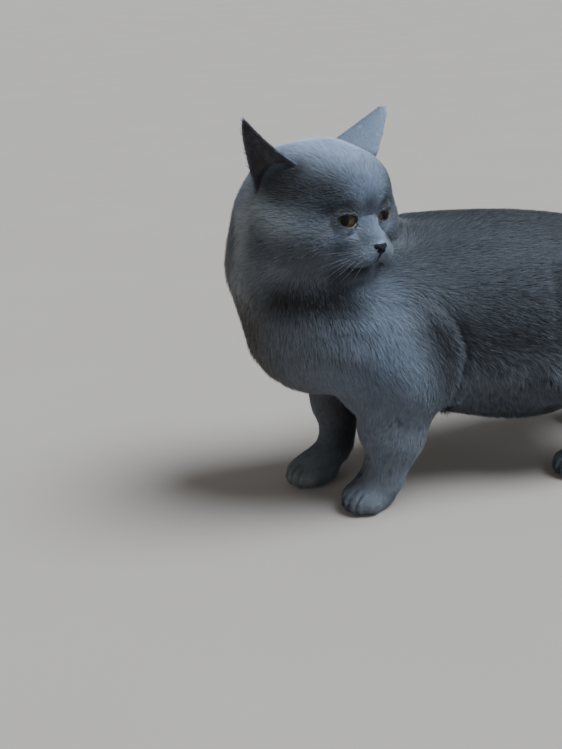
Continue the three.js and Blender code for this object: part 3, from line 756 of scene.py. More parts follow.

# %% [markdown]
# A blue coat is one colour, but not one value. The hairs are grey at the root and pale at the
# tip, so the coat looks light where it is sleek and dark where it stands open, and painted shade
# deepens that dark. A second short table lays tints over the cat: each line is a stroke, how far
# its tint reaches, its colour and how strong it is. Many tints are painted light and shade: light
# from above on the crown, forehead, bridge and foreleg, a rim of light behind the right cheek and
# neck, and painted shade on the belly, under the jaw, round the temples, ears and eyes, in the
# folds and between the toes. The dark flank and the pale shoulder are partly the coat's own lie,
# partly painted shade and sheen. Later lines lie over earlier ones. Skin and hairs read the same
# table, so they always carry the same tints.

# %% Mix the colours of the coat
SLATE = paint(104, 113, 125)
BODY_TINTS = [
    # darker flank: partly the coat's own open lie, partly painted shade
    (BOTH, (-110, 66, 150), (-240, 70, 140), 64, (32, 37, 44), 0.9),  # flank
    # darker back: partly the coat's own colour, partly painted shade
    (ONE, (-70, 0, 248), (-260, 0, 232), 60, (25, 29, 35), 0.9),  # back
    (ONE, (-250, 0, 190), (-330, 0, 150), 78, (42, 47, 54), 0.88),  # rump
    (ONE, (-330, 0, 172), (-470, 18, 50), 34, (50, 56, 64), 0.85),  # tail
    (BOTH, (-100, 68, 114), (-200, 70, 106), 24, (94, 102, 112), 0.8),  # lower flank
    # painted shade under the belly
    (ONE, (-60, 0, 72), (-215, 0, 60), 38, (12, 13, 15), 0.93),  # belly
    # painted shade along the edge of the belly
    (BOTH, (-80, 44, 64), (-200, 46, 58), 20, (20, 22, 26), 0.9),  # edge of the belly
    # painted shade on the breast, warmed by painted light bounced from the floor
    (ONE, (90, -10, 190), (40, -6, 90), 44, (80, 73, 60), 0.8),  # breast
    # painted rim light along the right of the neck
    (ONE, (44, -66, 250), (34, -68, 180), 26, (140, 145, 146), 0.8),  # right of the neck
    # paler shoulder: partly its own sleek coat, partly painted sheen
    (BOTH, (0, 64, 202), (-24, 76, 140), 32, (102, 117, 137), 0.8),  # shoulder
    # painted shade in the fold behind the upper arm
    (BOTH, (-60, 70, 168), (-68, 70, 122), 17, (43, 48, 54), 0.9),  # behind the upper arm
    # painted light on the foreleg
    (BOTH, (-30, 56, 100), (-27, 50, 40), 24, (112, 122, 135), 0.8),  # foreleg
    (BOTH, (-22, 38, 8), (12, 40, 8), 17, (51, 59, 69), 0.8),  # forepaw
    # painted light on the far forepaw, lifting its shade
    (ONE, (10, -30, 10), (36, -22, 8), 18, (116, 124, 124), 0.8),  # right forepaw
    (BOTH, (-206, 50, 100), (-280, 50, 74), 30, (58, 65, 74), 0.8),  # lower thigh
    (BOTH, (-280, 50, 74), (-198, 54, 8), 30, (64, 71, 80), 0.8),  # shank and hind paw
    (ONE, (-338, -46, 78), (-290, -46, 8), 26, (64, 71, 80), 0.8),  # right shank and hind paw
    # painted shade on the inside of the foreleg
    (BOTH, (-30, 20, 110), (-14, 20, 40), 21, (29, 31, 33), 0.92),  # inside of the foreleg
]
HEAD_TINTS = [
    # painted light from above on the crown
    (ONE, (-24, 0, 50), (-76, 0, 50), 42, (147, 166, 193), 0.8),  # crown
    # painted light from above on the forehead
    (ONE, (6, 0, 20), (-14, 0, 42), 20, (136, 154, 180), 0.85),  # forehead
    # painted light from above on the bridge of the nose
    (ONE, (18, 0, -15), (11, 0, -5), 9, (122, 141, 166), 0.8),  # bridge of the nose
    (ONE, (8, 0, 3), (4, 0, 9), 7, (70, 78, 91), 0.8),  # top of the bridge
    # painted shade on the temple, between the ear and the eye
    (BOTH, (-44, 50, 14), (-8, 33, 21), 21, (20, 23, 27), 0.94),  # temple
    # painted shade round the foot of the ear
    (BOTH, (-48, 50, 20), (-34, 42, 34), 13, (13, 14, 17), 0.95),  # foot of the ear
    # painted shade of the brow over the eye
    (BOTH, (2, 22, 12), (-14, 38, 15), 9, (54, 62, 73), 0.8),  # brow
    # painted shade on the cheek, which faces away from the light
    (BOTH, (-16, 50, -28), (-60, 60, -24), 22, (61, 66, 72), 0.8),  # cheek
    (BOTH, (-64, 56, 7), (-32, 56, -5), 12, (122, 131, 137), 0.75),  # top of the cheek
    # painted rim light behind the right cheek
    (ONE, (-78, -60, -8), (-82, -62, -52), 18, (136, 143, 146), 0.8),  # behind the right cheek
    (BOTH, (-14, 50, -44), (-42, 58, -48), 15, (122, 129, 138), 0.85),  # foot of the cheek
    # painted shadow of the head under the right jaw
    (ONE, (-40, -46, -64), (0, -20, -62), 19, (15, 16, 18), 0.92),  # under the right jaw
    (BOTH, (-2, 26, -22), (9, 15, -19), 8, (56, 63, 74), 0.85),  # beside the nose
    (BOTH, (13, 9, -29), (4, 18, -31), 6, (94, 105, 122), 0.8),  # pad of the whiskers
    # painted shade under the lips and on the chin
    (BOTH, (8, 8, -42), (-8, 22, -44), 8, (44, 48, 54), 0.85),  # chin
    (BOTH, (12, 5, -36.5), (1, 19, -40), 3.4, (22, 24, 27), 0.88),  # lower lip
    # dark upper lid: partly its own dark edge, partly painted shade of the brow
    (BOTH, (6, 9, 5), (1, 18, 9), 4.8, (36, 41, 49), 0.9),  # upper lid, inner half
    # dark upper lid: partly its own dark edge, partly painted shade of the brow
    (BOTH, (1, 18, 9), (-8, 30, 8), 4.8, (24, 27, 32), 0.9),  # upper lid, outer half
    # painted light that lifts the shade under the lower lid
    (BOTH, (3, 14, -12), (-5, 27, -11.5), 4, (112, 125, 145), 0.85),  # under the eye
    # pale edge of the lower lid: painted light and highlight
    (BOTH, (3, 12, -8.5), (0, 23, -9), 3, (160, 175, 196), 0.88),  # edge of the lower lid
]
# painted shade in the grooves between the toes
TOE_SHADE = 0.6
TINTS = [
    (frame_of(on_side((start, end), side)), reach * MM, paint(*colour), strength)
    for frame_of, table in ((in_body, BODY_TINTS), (in_head, HEAD_TINTS))
    for sides, start, end, reach, colour, strength in table
    for side in sides
]


def coat_colour(points):
    """Linear red, green and blue of the coat at each place, with its painted light and shade."""
    colour = np.tile(SLATE, (len(points), 1))
    for (start, end), reach, shade, strength in TINTS:
        weight = strength * hump(foot_on(points, start, end)[1], reach)
        colour += weight[:, None] * (shade - colour)
    # painted shade between the toes, darkest in the grooves
    between_toes = np.clip(toe_grooves(points) / TOE_GROOVE, 0, 1)
    return colour * (1 - TOE_SHADE * between_toes)[:, None]


print(len(TINTS), "tints over one slate")

# %% [markdown]
# Values that a material needs at each point travel with the mesh as attributes. The skin gets the
# coat's colour, how open the coat is and how bare the skin is. Its material is the darker depth
# of the coat, the roots' own grey with painted shade laid over it where the coat stands open,
# broken by fine bump where short hairs lie flat, and it turns to dark leather along the lips and
# lids. An image could hold all this, but attributes need no unwrap and no file.


# %% Colour the skin
KINDS = {1: ("FLOAT", "value"), 3: ("FLOAT_VECTOR", "vector"), 4: ("FLOAT_COLOR", "color")}
SHALLOW, DEEP = 1.5 * MM, 7 * MM  # a coat this shallow is sleek, and this deep is open
# the coat's darker depth: the roots' own grey, deepened by painted shade where the coat stands
# open
DEPTH_SHADE = paint(20, 22, 26)


def put(mesh, name, values):
    """Gives each point of a mesh a number, a vector or a colour with its alpha."""
    values = np.asarray(values, np.float32)
    kind, field = KINDS[values.shape[1] if values.ndim == 2 else 1]
    mesh.attributes.new(name, kind, "POINT").data.foreach_set(field, values.ravel())


def put_colour(mesh, name, colours):
    put(mesh, name, np.column_stack((colours, np.ones(len(colours)))))


def shown(name, mesh, material, nodes=()):
    """A finished piece: it rides on the cat's one body and stands for the nodes it replaces."""
    finish_mesh(mesh, material)
    piece = in_scene(name, mesh)
    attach(piece, "root")
    if nodes:
        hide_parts(*nodes)
    return piece


under = Shader("coat_depth", Roughness=0.8, Specular_IOR_Level=0.25)
broken = under.noise(700, 3).between(0.3, 0.7)
soft_patch = under.noise(45, 3).between(0.35, 0.65)
open_coat = under.attribute("open")
bareness = under.attribute("bare")
under.feed(
    Base_Color=under.layered(
        under.attribute("coat_colour", "Color"),
        # painted shade deep in the open coat, over the roots' own grey
        (0.06 + 0.54 * open_coat, DEPTH_SHADE),
        (0.3 * broken * open_coat, paint(26, 29, 34)),
        (0.12 * soft_patch, paint(88, 98, 112)),
        (bareness, paint(44, 47, 53)),
    ),
    Roughness=0.8 - 0.35 * bareness,
    Normal=under.bump(broken, 0.0005, 0.8),
)

put_colour(skin, "coat_colour", coat_colour(points_of(skin)))
put(skin, "bare", bare)
put(skin, "open", fade(coat_map(points_of(skin))[0], SHALLOW, DEEP))
FLESH_NODES = [n for n in FLESH if not n.startswith("eye") and n != "nose"]
skin_piece = shown("skin", skin, under.material, FLESH_NODES)
print("the skin stands for", len(FLESH_NODES), "packed nodes")

# %% [markdown]
# An unwrap lays the skin out flat, and the coat uses the same one: each hair takes a small patch
# at the place where it is rooted. Smart Project cuts the skin by the way its faces look, which
# suits a shape with legs, a tail and a head.


# %% Unwrap the skin
def unwrap(piece):
    """Lays a piece out flat as OFBake."""
    piece.data.uv_layers.new(name="OFBake")
    bpy.ops.object.select_all(action="DESELECT")
    bpy.context.view_layer.objects.active = piece
    piece.select_set(True)
    bpy.ops.object.mode_set(mode="EDIT")
    bpy.ops.mesh.select_all(action="SELECT")
    bpy.ops.uv.smart_project(angle_limit=math.radians(66), island_margin=0.003)
    bpy.ops.object.mode_set(mode="OBJECT")


unwrap(skin_piece)
print("the skin is unwrapped as", skin_piece.data.uv_layers[0].name)

# %% [markdown]
# A cat's eye is a large ball, mostly hidden. What shows is a domed clear cornea over a copper
# iris, with a dark ring round it and an upright pupil. The ball starts as a UV sphere whose pole
# is turned to the gaze, so its rings run round the pupil. Each point keeps its place in the eye's
# own axes, and the material draws the iris from that.

# %% Make the eyeballs
GAZE = {LEFT: math.radians(-16), RIGHT: math.radians(-20)}
DOME, DOME_REACH = 0.8 * MM, math.radians(42)
PUPIL = (3.3, 4.6)  # half its width and half its height, in millimetres
IRIS_EDGE = 8.6
RING = 1.3
FIBRES = (5, 0.25)  # how fine the iris changes round the pupil and away from it

eye_paint = Shader(
    "copper_iris", Roughness=0.6, Specular_IOR_Level=0.03, Coat_Roughness=0.02, Coat_IOR=1.33
)
eye_place = {"Vector": eye_paint.attribute("eye_place", "Vector")}
across_eye = eye_paint.node("ShaderNodeSeparateXYZ", {}, eye_place, out=1)
up_eye = eye_paint.node("ShaderNodeSeparateXYZ", {}, eye_place, out=2)
from_axis = (across_eye**2 + up_eye**2) ** 0.5
pupil_gap = ((across_eye / PUPIL[0]) ** 2 + (up_eye / PUPIL[1]) ** 2) ** 0.5
spokes = {i: FIBRES[0] * (part / from_axis) for i, part in enumerate((across_eye, up_eye))}
spokes[2] = FIBRES[1] * from_axis
spoke = eye_paint.node("ShaderNodeCombineXYZ", {}, spokes)
fibres = eye_paint.noise(1.6, 4, spoke).between(0.3, 0.7)
iris = eye_paint.layered(
    eye_paint.mixed(fibres, paint(52, 43, 29), paint(92, 77, 50)),
    (0.4 * from_axis.between(3.5, 7.5), paint(66, 47, 28)),
    (0.94 * up_eye.between(-1.6, 2), paint(18, 13, 11)),  # in the upper lid's shade
    (from_axis.between(IRIS_EDGE - RING, IRIS_EDGE), paint(24, 18, 16)),
    (1 - pupil_gap.between(0.93, 1.05), (0.004, 0.004, 0.005)),
)
eye_paint.feed(
    Base_Color=iris,
    Coat_Weight=0.35 + 0.1 * fibres,
    Normal=eye_paint.bump(fibres, 0.0001, 0.3),
)


def make_eye(side):
    """An eyeball turned to its gaze, with a cornea."""
    ball = bmesh.new()
    bmesh.ops.create_uvsphere(ball, u_segments=64, v_segments=48, radius=EYE_RADIUS)
    for vertex in ball.verts:
        off = vertex.co.angle(Vector((0, 0, 1)))
        vertex.co.z += DOME * (0.5 + 0.5 * math.cos(math.pi * min(off / DOME_REACH, 1)))
    bmesh.ops.rotate(ball, verts=ball.verts, matrix=Matrix.Rotation(math.pi / 2, 3, "Y"))
    mesh = as_mesh(ball, "eye")
    put(mesh, "eye_place", points_of(mesh) / MM)
    turn = Matrix.Rotation(EYE_SPLAY * side + GAZE[side], 4, "Z")
    mesh.transform(HEAD_TO_ROW @ Matrix.Translation(eye_in_head(side)) @ turn)
    return mesh


for side, word in SIDES.items():
    shown(f"eye_{word}_ball", make_eye(side), eye_paint.material, [f"eye_{word}"])
print("two eyes of", round(2 * EYE_MM, 1), "mm")

# %% [markdown]
# The edge of each lid is a narrow dark rim, wet where it meets the ball, and its lower half is
# paler: a painted highlight along the wet lower edge. It runs exactly along the almond that the
# skin was opened to, so a closed curve with a round section follows it, and is made a mesh before
# it is finished.

# %% Draw the rims of the lids
RIM = (0.3, 0.12, 0.3)  # its radius below, and what it gains above and at the inner corner
RIM_LIFT = 0.45

rim_paint = Shader("dark_rim", Roughness=0.35, Specular_IOR_Level=0.5)
mottle = rim_paint.noise(1200, 2).between(0.3, 0.7)
rim_dark = rim_paint.mixed(mottle, paint(22, 22, 25), paint(38, 39, 44))
rim_paint.feed(
    # the lower half of the rim is paler: a painted highlight of the wet lower lid
    Base_Color=rim_paint.mixed(rim_paint.attribute("upper"), paint(74, 77, 80), rim_dark),
    Normal=rim_paint.bump(mottle, 0.0001, 0.4),
)


def strands(name, paths, closed=False):
    """A mesh of round strands. A path is a list of places and of the strand's radius at each."""
    curve = bpy.data.curves.new(name, "CURVE")
    curve.dimensions = "3D"
    curve.bevel_depth = 1
    curve.bevel_resolution = 1
    curve.use_fill_caps = not closed
    for places, radii in paths:
        spline = curve.splines.new("POLY")
        spline.points.add(len(places) - 1)
        spline.points.foreach_set("co", np.column_stack((places, np.ones(len(places)))).ravel())
        spline.points.foreach_set("radius", radii)
        spline.use_cyclic_u = closed
    return made_mesh(in_scene(name, curve))


def lid_rim(side):
    """The almond's edge on the eyeball, a little thicker at the inner corner."""
    turn = np.linspace(0, 2 * math.pi, 72, endpoint=False)
    ray = np.stack((np.cos(turn), np.sin(turn)), 1)
    flat = OPENING_MIDDLE + ray / almond(OPENING_MIDDLE + ray)[:, None]
    radii = RIM[0] + RIM[1] * fade(ray[:, 1], -0.2, 0.6) + RIM[2] * hump(turn, 0.3, math.pi)
    return in_head(on_ball(flat, EYE_MM + RIM_LIFT, side)), radii * MM


for side, word in SIDES.items():
    rim_mesh = strands(f"rim_{word}", [lid_rim(side)], closed=True)
    put(rim_mesh, "upper", fade(to_head(points_of(rim_mesh))[:, 2], -2, 1))
    shown(f"rim_{word}", rim_mesh, rim_paint.material)
print("rims from", 2 * RIM[0], "to", 2 * (RIM[0] + RIM[1]), "mm thick")

# %% [markdown]
# Where the lips meet, a cat shows a dark line that turns up into the cheek. The groove in the
# skin is too soft to draw it, so a thin strand lies in the groove. It follows the same places as
# the groove, laid on the nearest points of the skin, and sinks and thins away at its end.

# %% Draw the line of the mouth
LIP_HEIGHT = 1.0
LIP_RADIUS = 0.5
LIP_POINTS = 48
LIP_END = (2.4, 1.1)  # where the line starts to sink and where it is gone, in strokes from its end

skin_tree = KDTree(len(skin.vertices))
for i, place in enumerate(points_of(skin)):
    skin_tree.insert(place, i)
skin_tree.balance()


def lip_line(side):
    """The dark line where the lips meet, laid on the skin along the mouth."""
    ends = on_side(MOUTH, side)
    steps = np.linspace(0, len(ends) - 1.001, LIP_POINTS)
    before = steps.astype(int)
    flat = ends[before] + (steps - before)[:, None] * (ends[before + 1] - ends[before])
    near = [skin_tree.find(place)[1] for place in in_head(flat)]
    ending = fade(steps, len(ends) - LIP_END[0], len(ends) - LIP_END[1])
    height = LIP_HEIGHT * (1 - 1.3 * ending)
    on_skin = points_of(skin)[near] + normals_of(skin)[near] * (height * MM)[:, None]
    for _ in range(6):
        on_skin[1:-1] = (on_skin[:-2] + 2 * on_skin[1:-1] + on_skin[2:]) / 4
    return on_skin, LIP_RADIUS * (1 - 0.85 * ending) * MM


lip_mesh = strands("lips", [lip_line(side) for side in SIDES])
put(lip_mesh, "upper", np.ones(len(lip_mesh.vertices)))
shown("lips", lip_mesh, rim_paint.material)
print("the mouth is a line of", 2 * LIP_RADIUS, "mm")

# %% [markdown]
# The nose leather is bare, matt and finely pebbled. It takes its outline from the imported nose,
# remeshed finely and rubbed smooth, and two comma-shaped nostrils and a groove between them are
# pushed in.

# %% Shape the nose
NOSE_VOXEL = 0.4 * MM
NOSE_SWELL = 0.1 * MM
NOSTRIL = [(19.8, 3.4, -22.6), (17.5, 5.6, -23.2), (15.5, 6.4, -21.4)]
PHILTRUM = [(21, 0, -22.5), (19.5, 0, -26), (17, 0, -29)]
nose = remeshed(swelled_copy("nose_leather", ["nose"], NOSE_SWELL), NOSE_VOXEL)
set_points(nose, smoothed(points_of(nose), edges_of(nose), 12))
nose_mm = to_head(points_of(nose))
dent = np.zeros(len(nose_mm))
for side in SIDES:
    hole = nearest_on(nose_mm, on_side(NOSTRIL, side))[1]
    dent += hump(hole, 0.8) - 0.2 * hump(hole, 1, 2.2)
dent += 0.5 * hump(nearest_on(nose_mm, PHILTRUM)[1], 0.6)
set_points(nose, points_of(nose) - normals_of(nose) * (dent * MM)[:, None])
put(nose, "hollow", np.clip(1.1 * dent, 0, 1))

nose_paint = Shader("nose_leather", Roughness=0.5, Specular_IOR_Level=0.14)
cells = {"Vector": nose_paint.place(), "Scale": 1700}
pebbles = nose_paint.node("ShaderNodeTexVoronoi", {}, cells).between(0.1, 0.7)
patchy = nose_paint.noise(300, 3).between(0.35, 0.65)
leather = nose_paint.mixed(patchy, paint(10, 14, 20), paint(17, 23, 32))
nose_paint.feed(
    Base_Color=nose_paint.mixed(nose_paint.attribute("hollow"), leather, paint(14, 14, 16)),
    Roughness=0.5 + 0.2 * pebbles,
    Normal=nose_paint.bump(pebbles, 0.00015, 0.6),
)
shown("nose_leather", nose, nose_paint.material, ["nose"])
print("the nose has", len(nose.vertices), "points")

# %% [markdown]
# An ear is a thin sheet of skin, bent into a cup and drawn in to a round tip. A flat grid is the
# right start, because its rows already run from the foot of the ear to the tip. Each point moves
# to its place in the cup, and the sheet then gets its thickness.

# %% Bend the ears
EAR_CORNERS = {  # front, rear and tip
    LEFT: ((-33, 43, 40), (-90, 26, 31), (-57, 74, 71)),
    RIGHT: ((-39, -36, 38), (-65.5, -54.5, 12), (-56, -76, 73)),
}
EAR_EDGES = {LEFT: (0.95, 1.15), RIGHT: (1.6, 0.85)}  # below 1 the front and rear edges bulge
EAR_CUP = 12
EAR_SHEET = 1.5 * MM
EAR_FOOT = 0.22  # how far the sheet goes on into the head
EAR_TIP = (0.02, 0.06)  # how wide the tip is, and how much the sheet is rounded towards it
# the pale back of the ear: partly its blue coat, partly painted light from above
EAR_BACK = paint(121, 138, 162)


def ear_place(corners, edges, across, share):
    """Where a point of the ear's sheet goes, from -1 to 1 across and 0 to 1 up it."""
    front, rear, tip = (np.array(c, float) for c in corners)
    base = (front + rear) / 2
    width = rear - front
    rise = tip - base
    normal = np.cross(width, rise)
    normal *= -np.sign(normal[1] * base[1]) / np.linalg.norm(normal)
    sunk = share**0.9 * (1 + EAR_FOOT) - EAR_FOOT
    risen = np.maximum(sunk, 0)
    round_tip = EAR_TIP[0] + EAR_TIP[1] * np.sqrt(np.maximum(1 - risen**5, 0))
    narrow = 0.44 * (1 - risen) ** np.where(across > 0, edges[1], edges[0]) + round_tip
    cup = EAR_CUP * (1 - across**2) * (1 - 0.75 * risen)
    flat = base + np.outer(sunk, rise) + np.outer(narrow * across, width)
    return flat + np.outer(cup, normal), normal


def put_in_order(shape):
    """Sorts edges and faces by their points, because solidify leaves them in no fixed order."""
    shape.verts.index_update()
    many = len(shape.verts)

    def rank(part):
        return sum(i * many**k for k, i in enumerate(sorted(v.index for v in part.verts)))

    shape.edges.sort(key=rank)
    shape.faces.sort(key=rank)


def make_ear(side):
    """The ear's sheet as a bmesh grid, bent and thickened, and the way its hollow faces."""
    sheet = bmesh.new()
    bmesh.ops.create_grid(sheet, x_segments=30, y_segments=44, size=1)
    flat = np.array([vertex.co for vertex in sheet.verts])
    corners, edges = EAR_CORNERS[side], EAR_EDGES[side]
    bent, to_crown = ear_place(corners, edges, flat[:, 0], (flat[:, 1] + 1) / 2)
    for vertex, place in zip(sheet.verts, in_head(bent)):
        vertex.co = place
    bmesh.ops.recalc_face_normals(sheet, faces=sheet.faces)
    bmesh.ops.solidify(sheet, geom=sheet.faces, thickness=EAR_SHEET)
    bmesh.ops.recalc_face_normals(sheet, faces=sheet.faces)
    put_in_order(sheet)
    return as_mesh(sheet, "ear"), -np.array(HEAD_TURN) @ to_crown


ear_paint = Shader("ear_skin", Roughness=0.75, Specular_IOR_Level=0.3)
veins = ear_paint.noise(160, 4).between(0.35, 0.65)
# the hollow's skin is darker: partly its own colour, partly painted shade inside the cup
inner = ear_paint.mixed(veins, paint(46, 45, 50), paint(68, 65, 70))
furred = ear_paint.attribute("coat_colour", "Color")
outer = ear_paint.mixed(1, furred, (0.6, 0.6, 0.6), "MULTIPLY")
ear_paint.feed(
    Base_Color=ear_paint.mixed(ear_paint.attribute("inside"), outer, inner),
    Normal=ear_paint.bump(veins, 0.0004, 0.5),
)
ears = []
for side, word in SIDES.items():
    ear_mesh, hollow = make_ear(side)
    inside = fade(normals_of(ear_mesh) @ hollow, -0.05, 0.3)
    put(ear_mesh, "inside", inside)
    put_colour(ear_mesh, "coat_colour", np.tile(EAR_BACK, (len(inside), 1)))
    piece = shown(f"ear_{word}_skin", ear_mesh, ear_paint.material, [f"ear_{word}"])
    unwrap(piece)
    ears.append((side, piece, inside))
print("two ears of", len(ear_mesh.vertices), "points each")

# %% [markdown]
# One hair is a strip of two steps, drawn to a point: five points and three triangles, which is
# little enough to have hundreds of thousands. Roots are scattered over the faces by area, each
# hair runs along the lie while it rises to the coat's depth, and neighbours lean together into
# small tufts. A particle system could grow such a coat, but its hairs aren't mesh, so the strips
# are placed here in one sweep of array arithmetic.


# %% Cut one blade and learn where roots go
def cut_blade():
    """One hair as a strip: places across and along it, and its triangles."""
    strip = bmesh.new()
    bmesh.ops.create_grid(strip, x_segments=1, y_segments=2, size=0.5)
    top = [v for v in strip.verts if v.co.y > 0.4]
    bmesh.ops.pointmerge(strip, verts=top, merge_co=(0, 0.5, 0))
    bmesh.ops.triangulate(strip, faces=strip.faces)
    strip.verts.index_update()
    places = np.array([v.co[:2] for v in strip.verts]) + (0, 0.5)
    faces = np.array([[v.index for v in f.verts] for f in strip.faces])
    strip.free()
    return places[:, 0] * 2, places[:, 1], faces


BLADE_ACROSS, BLADE_ALONG, BLADE_FACES = cut_blade()
chance = np.random.default_rng(7)


def unit(vectors):
    return vectors / np.maximum(np.linalg.norm(vectors, axis=1), 1e-12)[:, None]


def ground_of(mesh):
    """A mesh's triangles, their areas in square millimetres, and the unwrap of their corners."""
    mesh.calc_loop_triangles()
    corners, loops = (
        rows_of(mesh.loop_triangles, field, 3, np.int32) for field in ("vertices", "loops")
    )
    flat = rows_of(mesh.uv_layers["OFBake"].data, "uv", 2)
    a, b, c = (points_of(mesh)[corners[:, i]] for i in range(3))
    area = np.linalg.norm(np.cross(b - a, c - a), axis=1) / 2 / MM**2
    return corners, area, flat[loops]


def drift(pairs, count, rounds):
    """A smooth random field over a mesh, from about -2 to 2."""
    field = chance.standard_normal((count, 1))
    for _ in range(rounds):
        field = neighbour_means(field, pairs)
    return field / field.std()


print("a blade has", len(BLADE_ACROSS), "points and", len(BLADE_FACES), "triangles")

# %% [markdown]
# The roots carry everything a hair needs. `Roots` picks them so that crowded and bare places
# follow the map of the coat, and reads the maps at the points of the skin only, which is quicker
# than at every hair.


# %% Scatter the roots
class Roots:
    """Places where hairs are rooted, with the values of a mesh's points mixed between them."""

    def __init__(self, mesh, per_point):
        corners, area, flat = ground_of(mesh)
        wanted = area * per_point[corners].mean(axis=1)
        total = np.cumsum(wanted)
        self.count = int(total[-1])
        picks = (np.arange(self.count) + chance.random(self.count)) * total[-1] / self.count
        faces = np.minimum(np.searchsorted(total, picks), len(corners) - 1)
        first, second = np.sqrt(chance.random(self.count)), chance.random(self.count)
        self.shares = np.stack((1 - first, first * (1 - second), first * second), 1)
        self.corners = corners[faces]
        self.place = self.mixed(points_of(mesh))
        self.normal = unit(self.mixed(normals_of(mesh)))
        self.patch = (flat[faces] * self.shares[:, :, None]).sum(axis=1)

    def mixed(self, values):
        """Values at the mesh's points, mixed at the roots."""
        if values.ndim == 1:
            return (values[self.corners] * self.shares).sum(axis=1)
        return (values[self.corners] * self.shares[:, :, None]).sum(axis=1)


def combed(normal, lie):
    """The lie of the coat, laid flat on the surface."""
    return unit(lie - (lie * normal).sum(axis=1)[:, None] * normal)


print("roots can be scattered over any mesh")

# %% [markdown]
# `grow` turns roots into hairs. Each tuft has a leader, and the hairs round it lean their tips
# towards the leader's. How strongly they lean, how far a hair stands up and how much its
# direction strays differ from place to place, so the breast and the lower flank look ruffled and
# the face stays sleek. Each of those is a pair of numbers: what a sleek coat has, and what
# ruffling adds.

# %% Grow hairs from roots
STRAY = (0.15, 0.12)
LEAN = (0.08, 0.42)
TUFT_TONE = (0.05, 0.06)
TWIST, TWIST_MORE = 0.4, 1.2
PARTED, PARTED_TONE = 0.08, 0.62  # few tufts stand apart, and they are darker
HIGH, LONG, WIDE = (0.7, 1.06), (0.75, 1.1), (0.8, 1.2)  # how much hairs differ
UNEVEN = 0.1  # how much more their heights differ where the coat is ruffled
MIDDLE = (0.66, 0.46)  # how far up and along a hair its middle lies
MIDDLE_LEAN = 0.35
LEAST_RUN = 0.3  # of its length
ROOT_DEPTH = 0.25 * MM
OFF_FLOOR = 0.2 * MM
PATCH = 0.003  # how much of the unwrap one hair takes


def grow(roots, lie, depth, length, width, ruffle, spread):
    """The points of every hair, five to a hair, and the tone of its tuft."""
    count, normal = roots.count, roots.normal
    stray = chance.normal(0, STRAY[0] + STRAY[1] * ruffle, count)
    along = unit(lie + stray[:, None] * np.cross(normal, lie))
    twist = chance.uniform(-TWIST, TWIST, count) * (1 + TWIST_MORE * ruffle)
    side = np.cos(twist)[:, None] * np.cross(normal, along) + np.sin(twist)[:, None] * normal
    high = depth * chance.uniform(*HIGH, count)
    high *= 1 + UNEVEN * ruffle * chance.standard_normal(count)
    long = length * chance.uniform(*LONG, count)
    run = np.sqrt(np.maximum(long**2 - high**2, (LEAST_RUN * long) ** 2))
    up_part, along_part = MIDDLE
    middle = roots.place + normal * (up_part * high)[:, None] + along * (along_part * run)[:, None]
    tip = roots.place + normal * high[:, None] + along * run[:, None]

    leaders = chance.permutation(count)[: max(int(count / spread), 1)]
    tree = KDTree(len(leaders))
    for i, leader in enumerate(leaders):
        tree.insert(roots.place[leader], i)
    tree.balance()
    tuft = np.array([tree.find(place)[1] for place in roots.place])
    nearest = leaders[tuft]
    lean = (LEAN[0] + LEAN[1] * ruffle)[:, None]
    tip = tip + lean * (tip[nearest] - tip)
    middle = middle + MIDDLE_LEAN * lean * (middle[nearest] - middle)

    foot = roots.place - normal * ROOT_DEPTH
    wide = side * (width * chance.uniform(*WIDE, count))[:, None] / 2
    stations = {0.0: (foot, 1.0), 0.5: (middle, 0.8), 1.0: (tip, 0.0)}
    points = np.zeros((count, len(BLADE_ALONG), 3))
    for i, (across, t) in enumerate(zip(BLADE_ACROSS, BLADE_ALONG)):
        place, taper = stations[round(float(t), 1)]
        points[:, i] = place + across * taper * wide
    points[:, :, 2] = np.maximum(points[:, :, 2], OFF_FLOOR)
    differ = TUFT_TONE[0] + TUFT_TONE[1] * ruffle
    tone = 1 + differ * chance.standard_normal(len(leaders))[tuft]
    parted = chance.random(len(leaders))[tuft] < PARTED * ruffle
    return points, np.where(parted, PARTED_TONE, tone)


def hair_mesh(name, points, patch, colour, openness):
    """One mesh of many hairs, with their colour, and each one's patch of the unwrap."""
    count, size = points.shape[:2]
    faces = (np.arange(count)[:, None, None] * size + BLADE_FACES[None]).reshape(-1)
    mesh = bpy.data.meshes.new(name)
    mesh.vertices.add(count * size)
    mesh.vertices.foreach_set("co", points.ravel().astype(np.float32))
    mesh.loops.add(len(faces))
    mesh.loops.foreach_set("vertex_index", faces.astype(np.int32))
    mesh.polygons.add(len(faces) // 3)
    mesh.polygons.foreach_set("loop_start", np.arange(0, len(faces), 3, dtype=np.int32))
    strand = np.repeat(chance.random(count), size)
    put_colour(mesh, "coat_colour", np.repeat(colour, size, axis=0))
    put(mesh, "strand", strand)
    put(mesh, "open", np.repeat(openness, size))
    put(mesh, "along", np.tile(BLADE_ALONG, count))
    offset = np.stack((BLADE_ACROSS / 2, BLADE_ALONG - 0.5), 1) * PATCH
    flat = (patch[:, None] + offset[None]).reshape(-1, 2)[faces]
    mesh.uv_layers.new(name="OFBake").data.foreach_set("uv", flat.ravel().astype(np.float32))
    mesh.update()
    mesh.validate()
    return mesh


print("hairs lean together in tufts")

# %% [markdown]
# The coat's material takes the map's colour, and darkens it towards the root and lightens it
# towards the tip. Single hairs differ, and slow waves of tone run over the whole body, as they do
# on a coat that has been stroked. All of it is stronger where the coat is open.

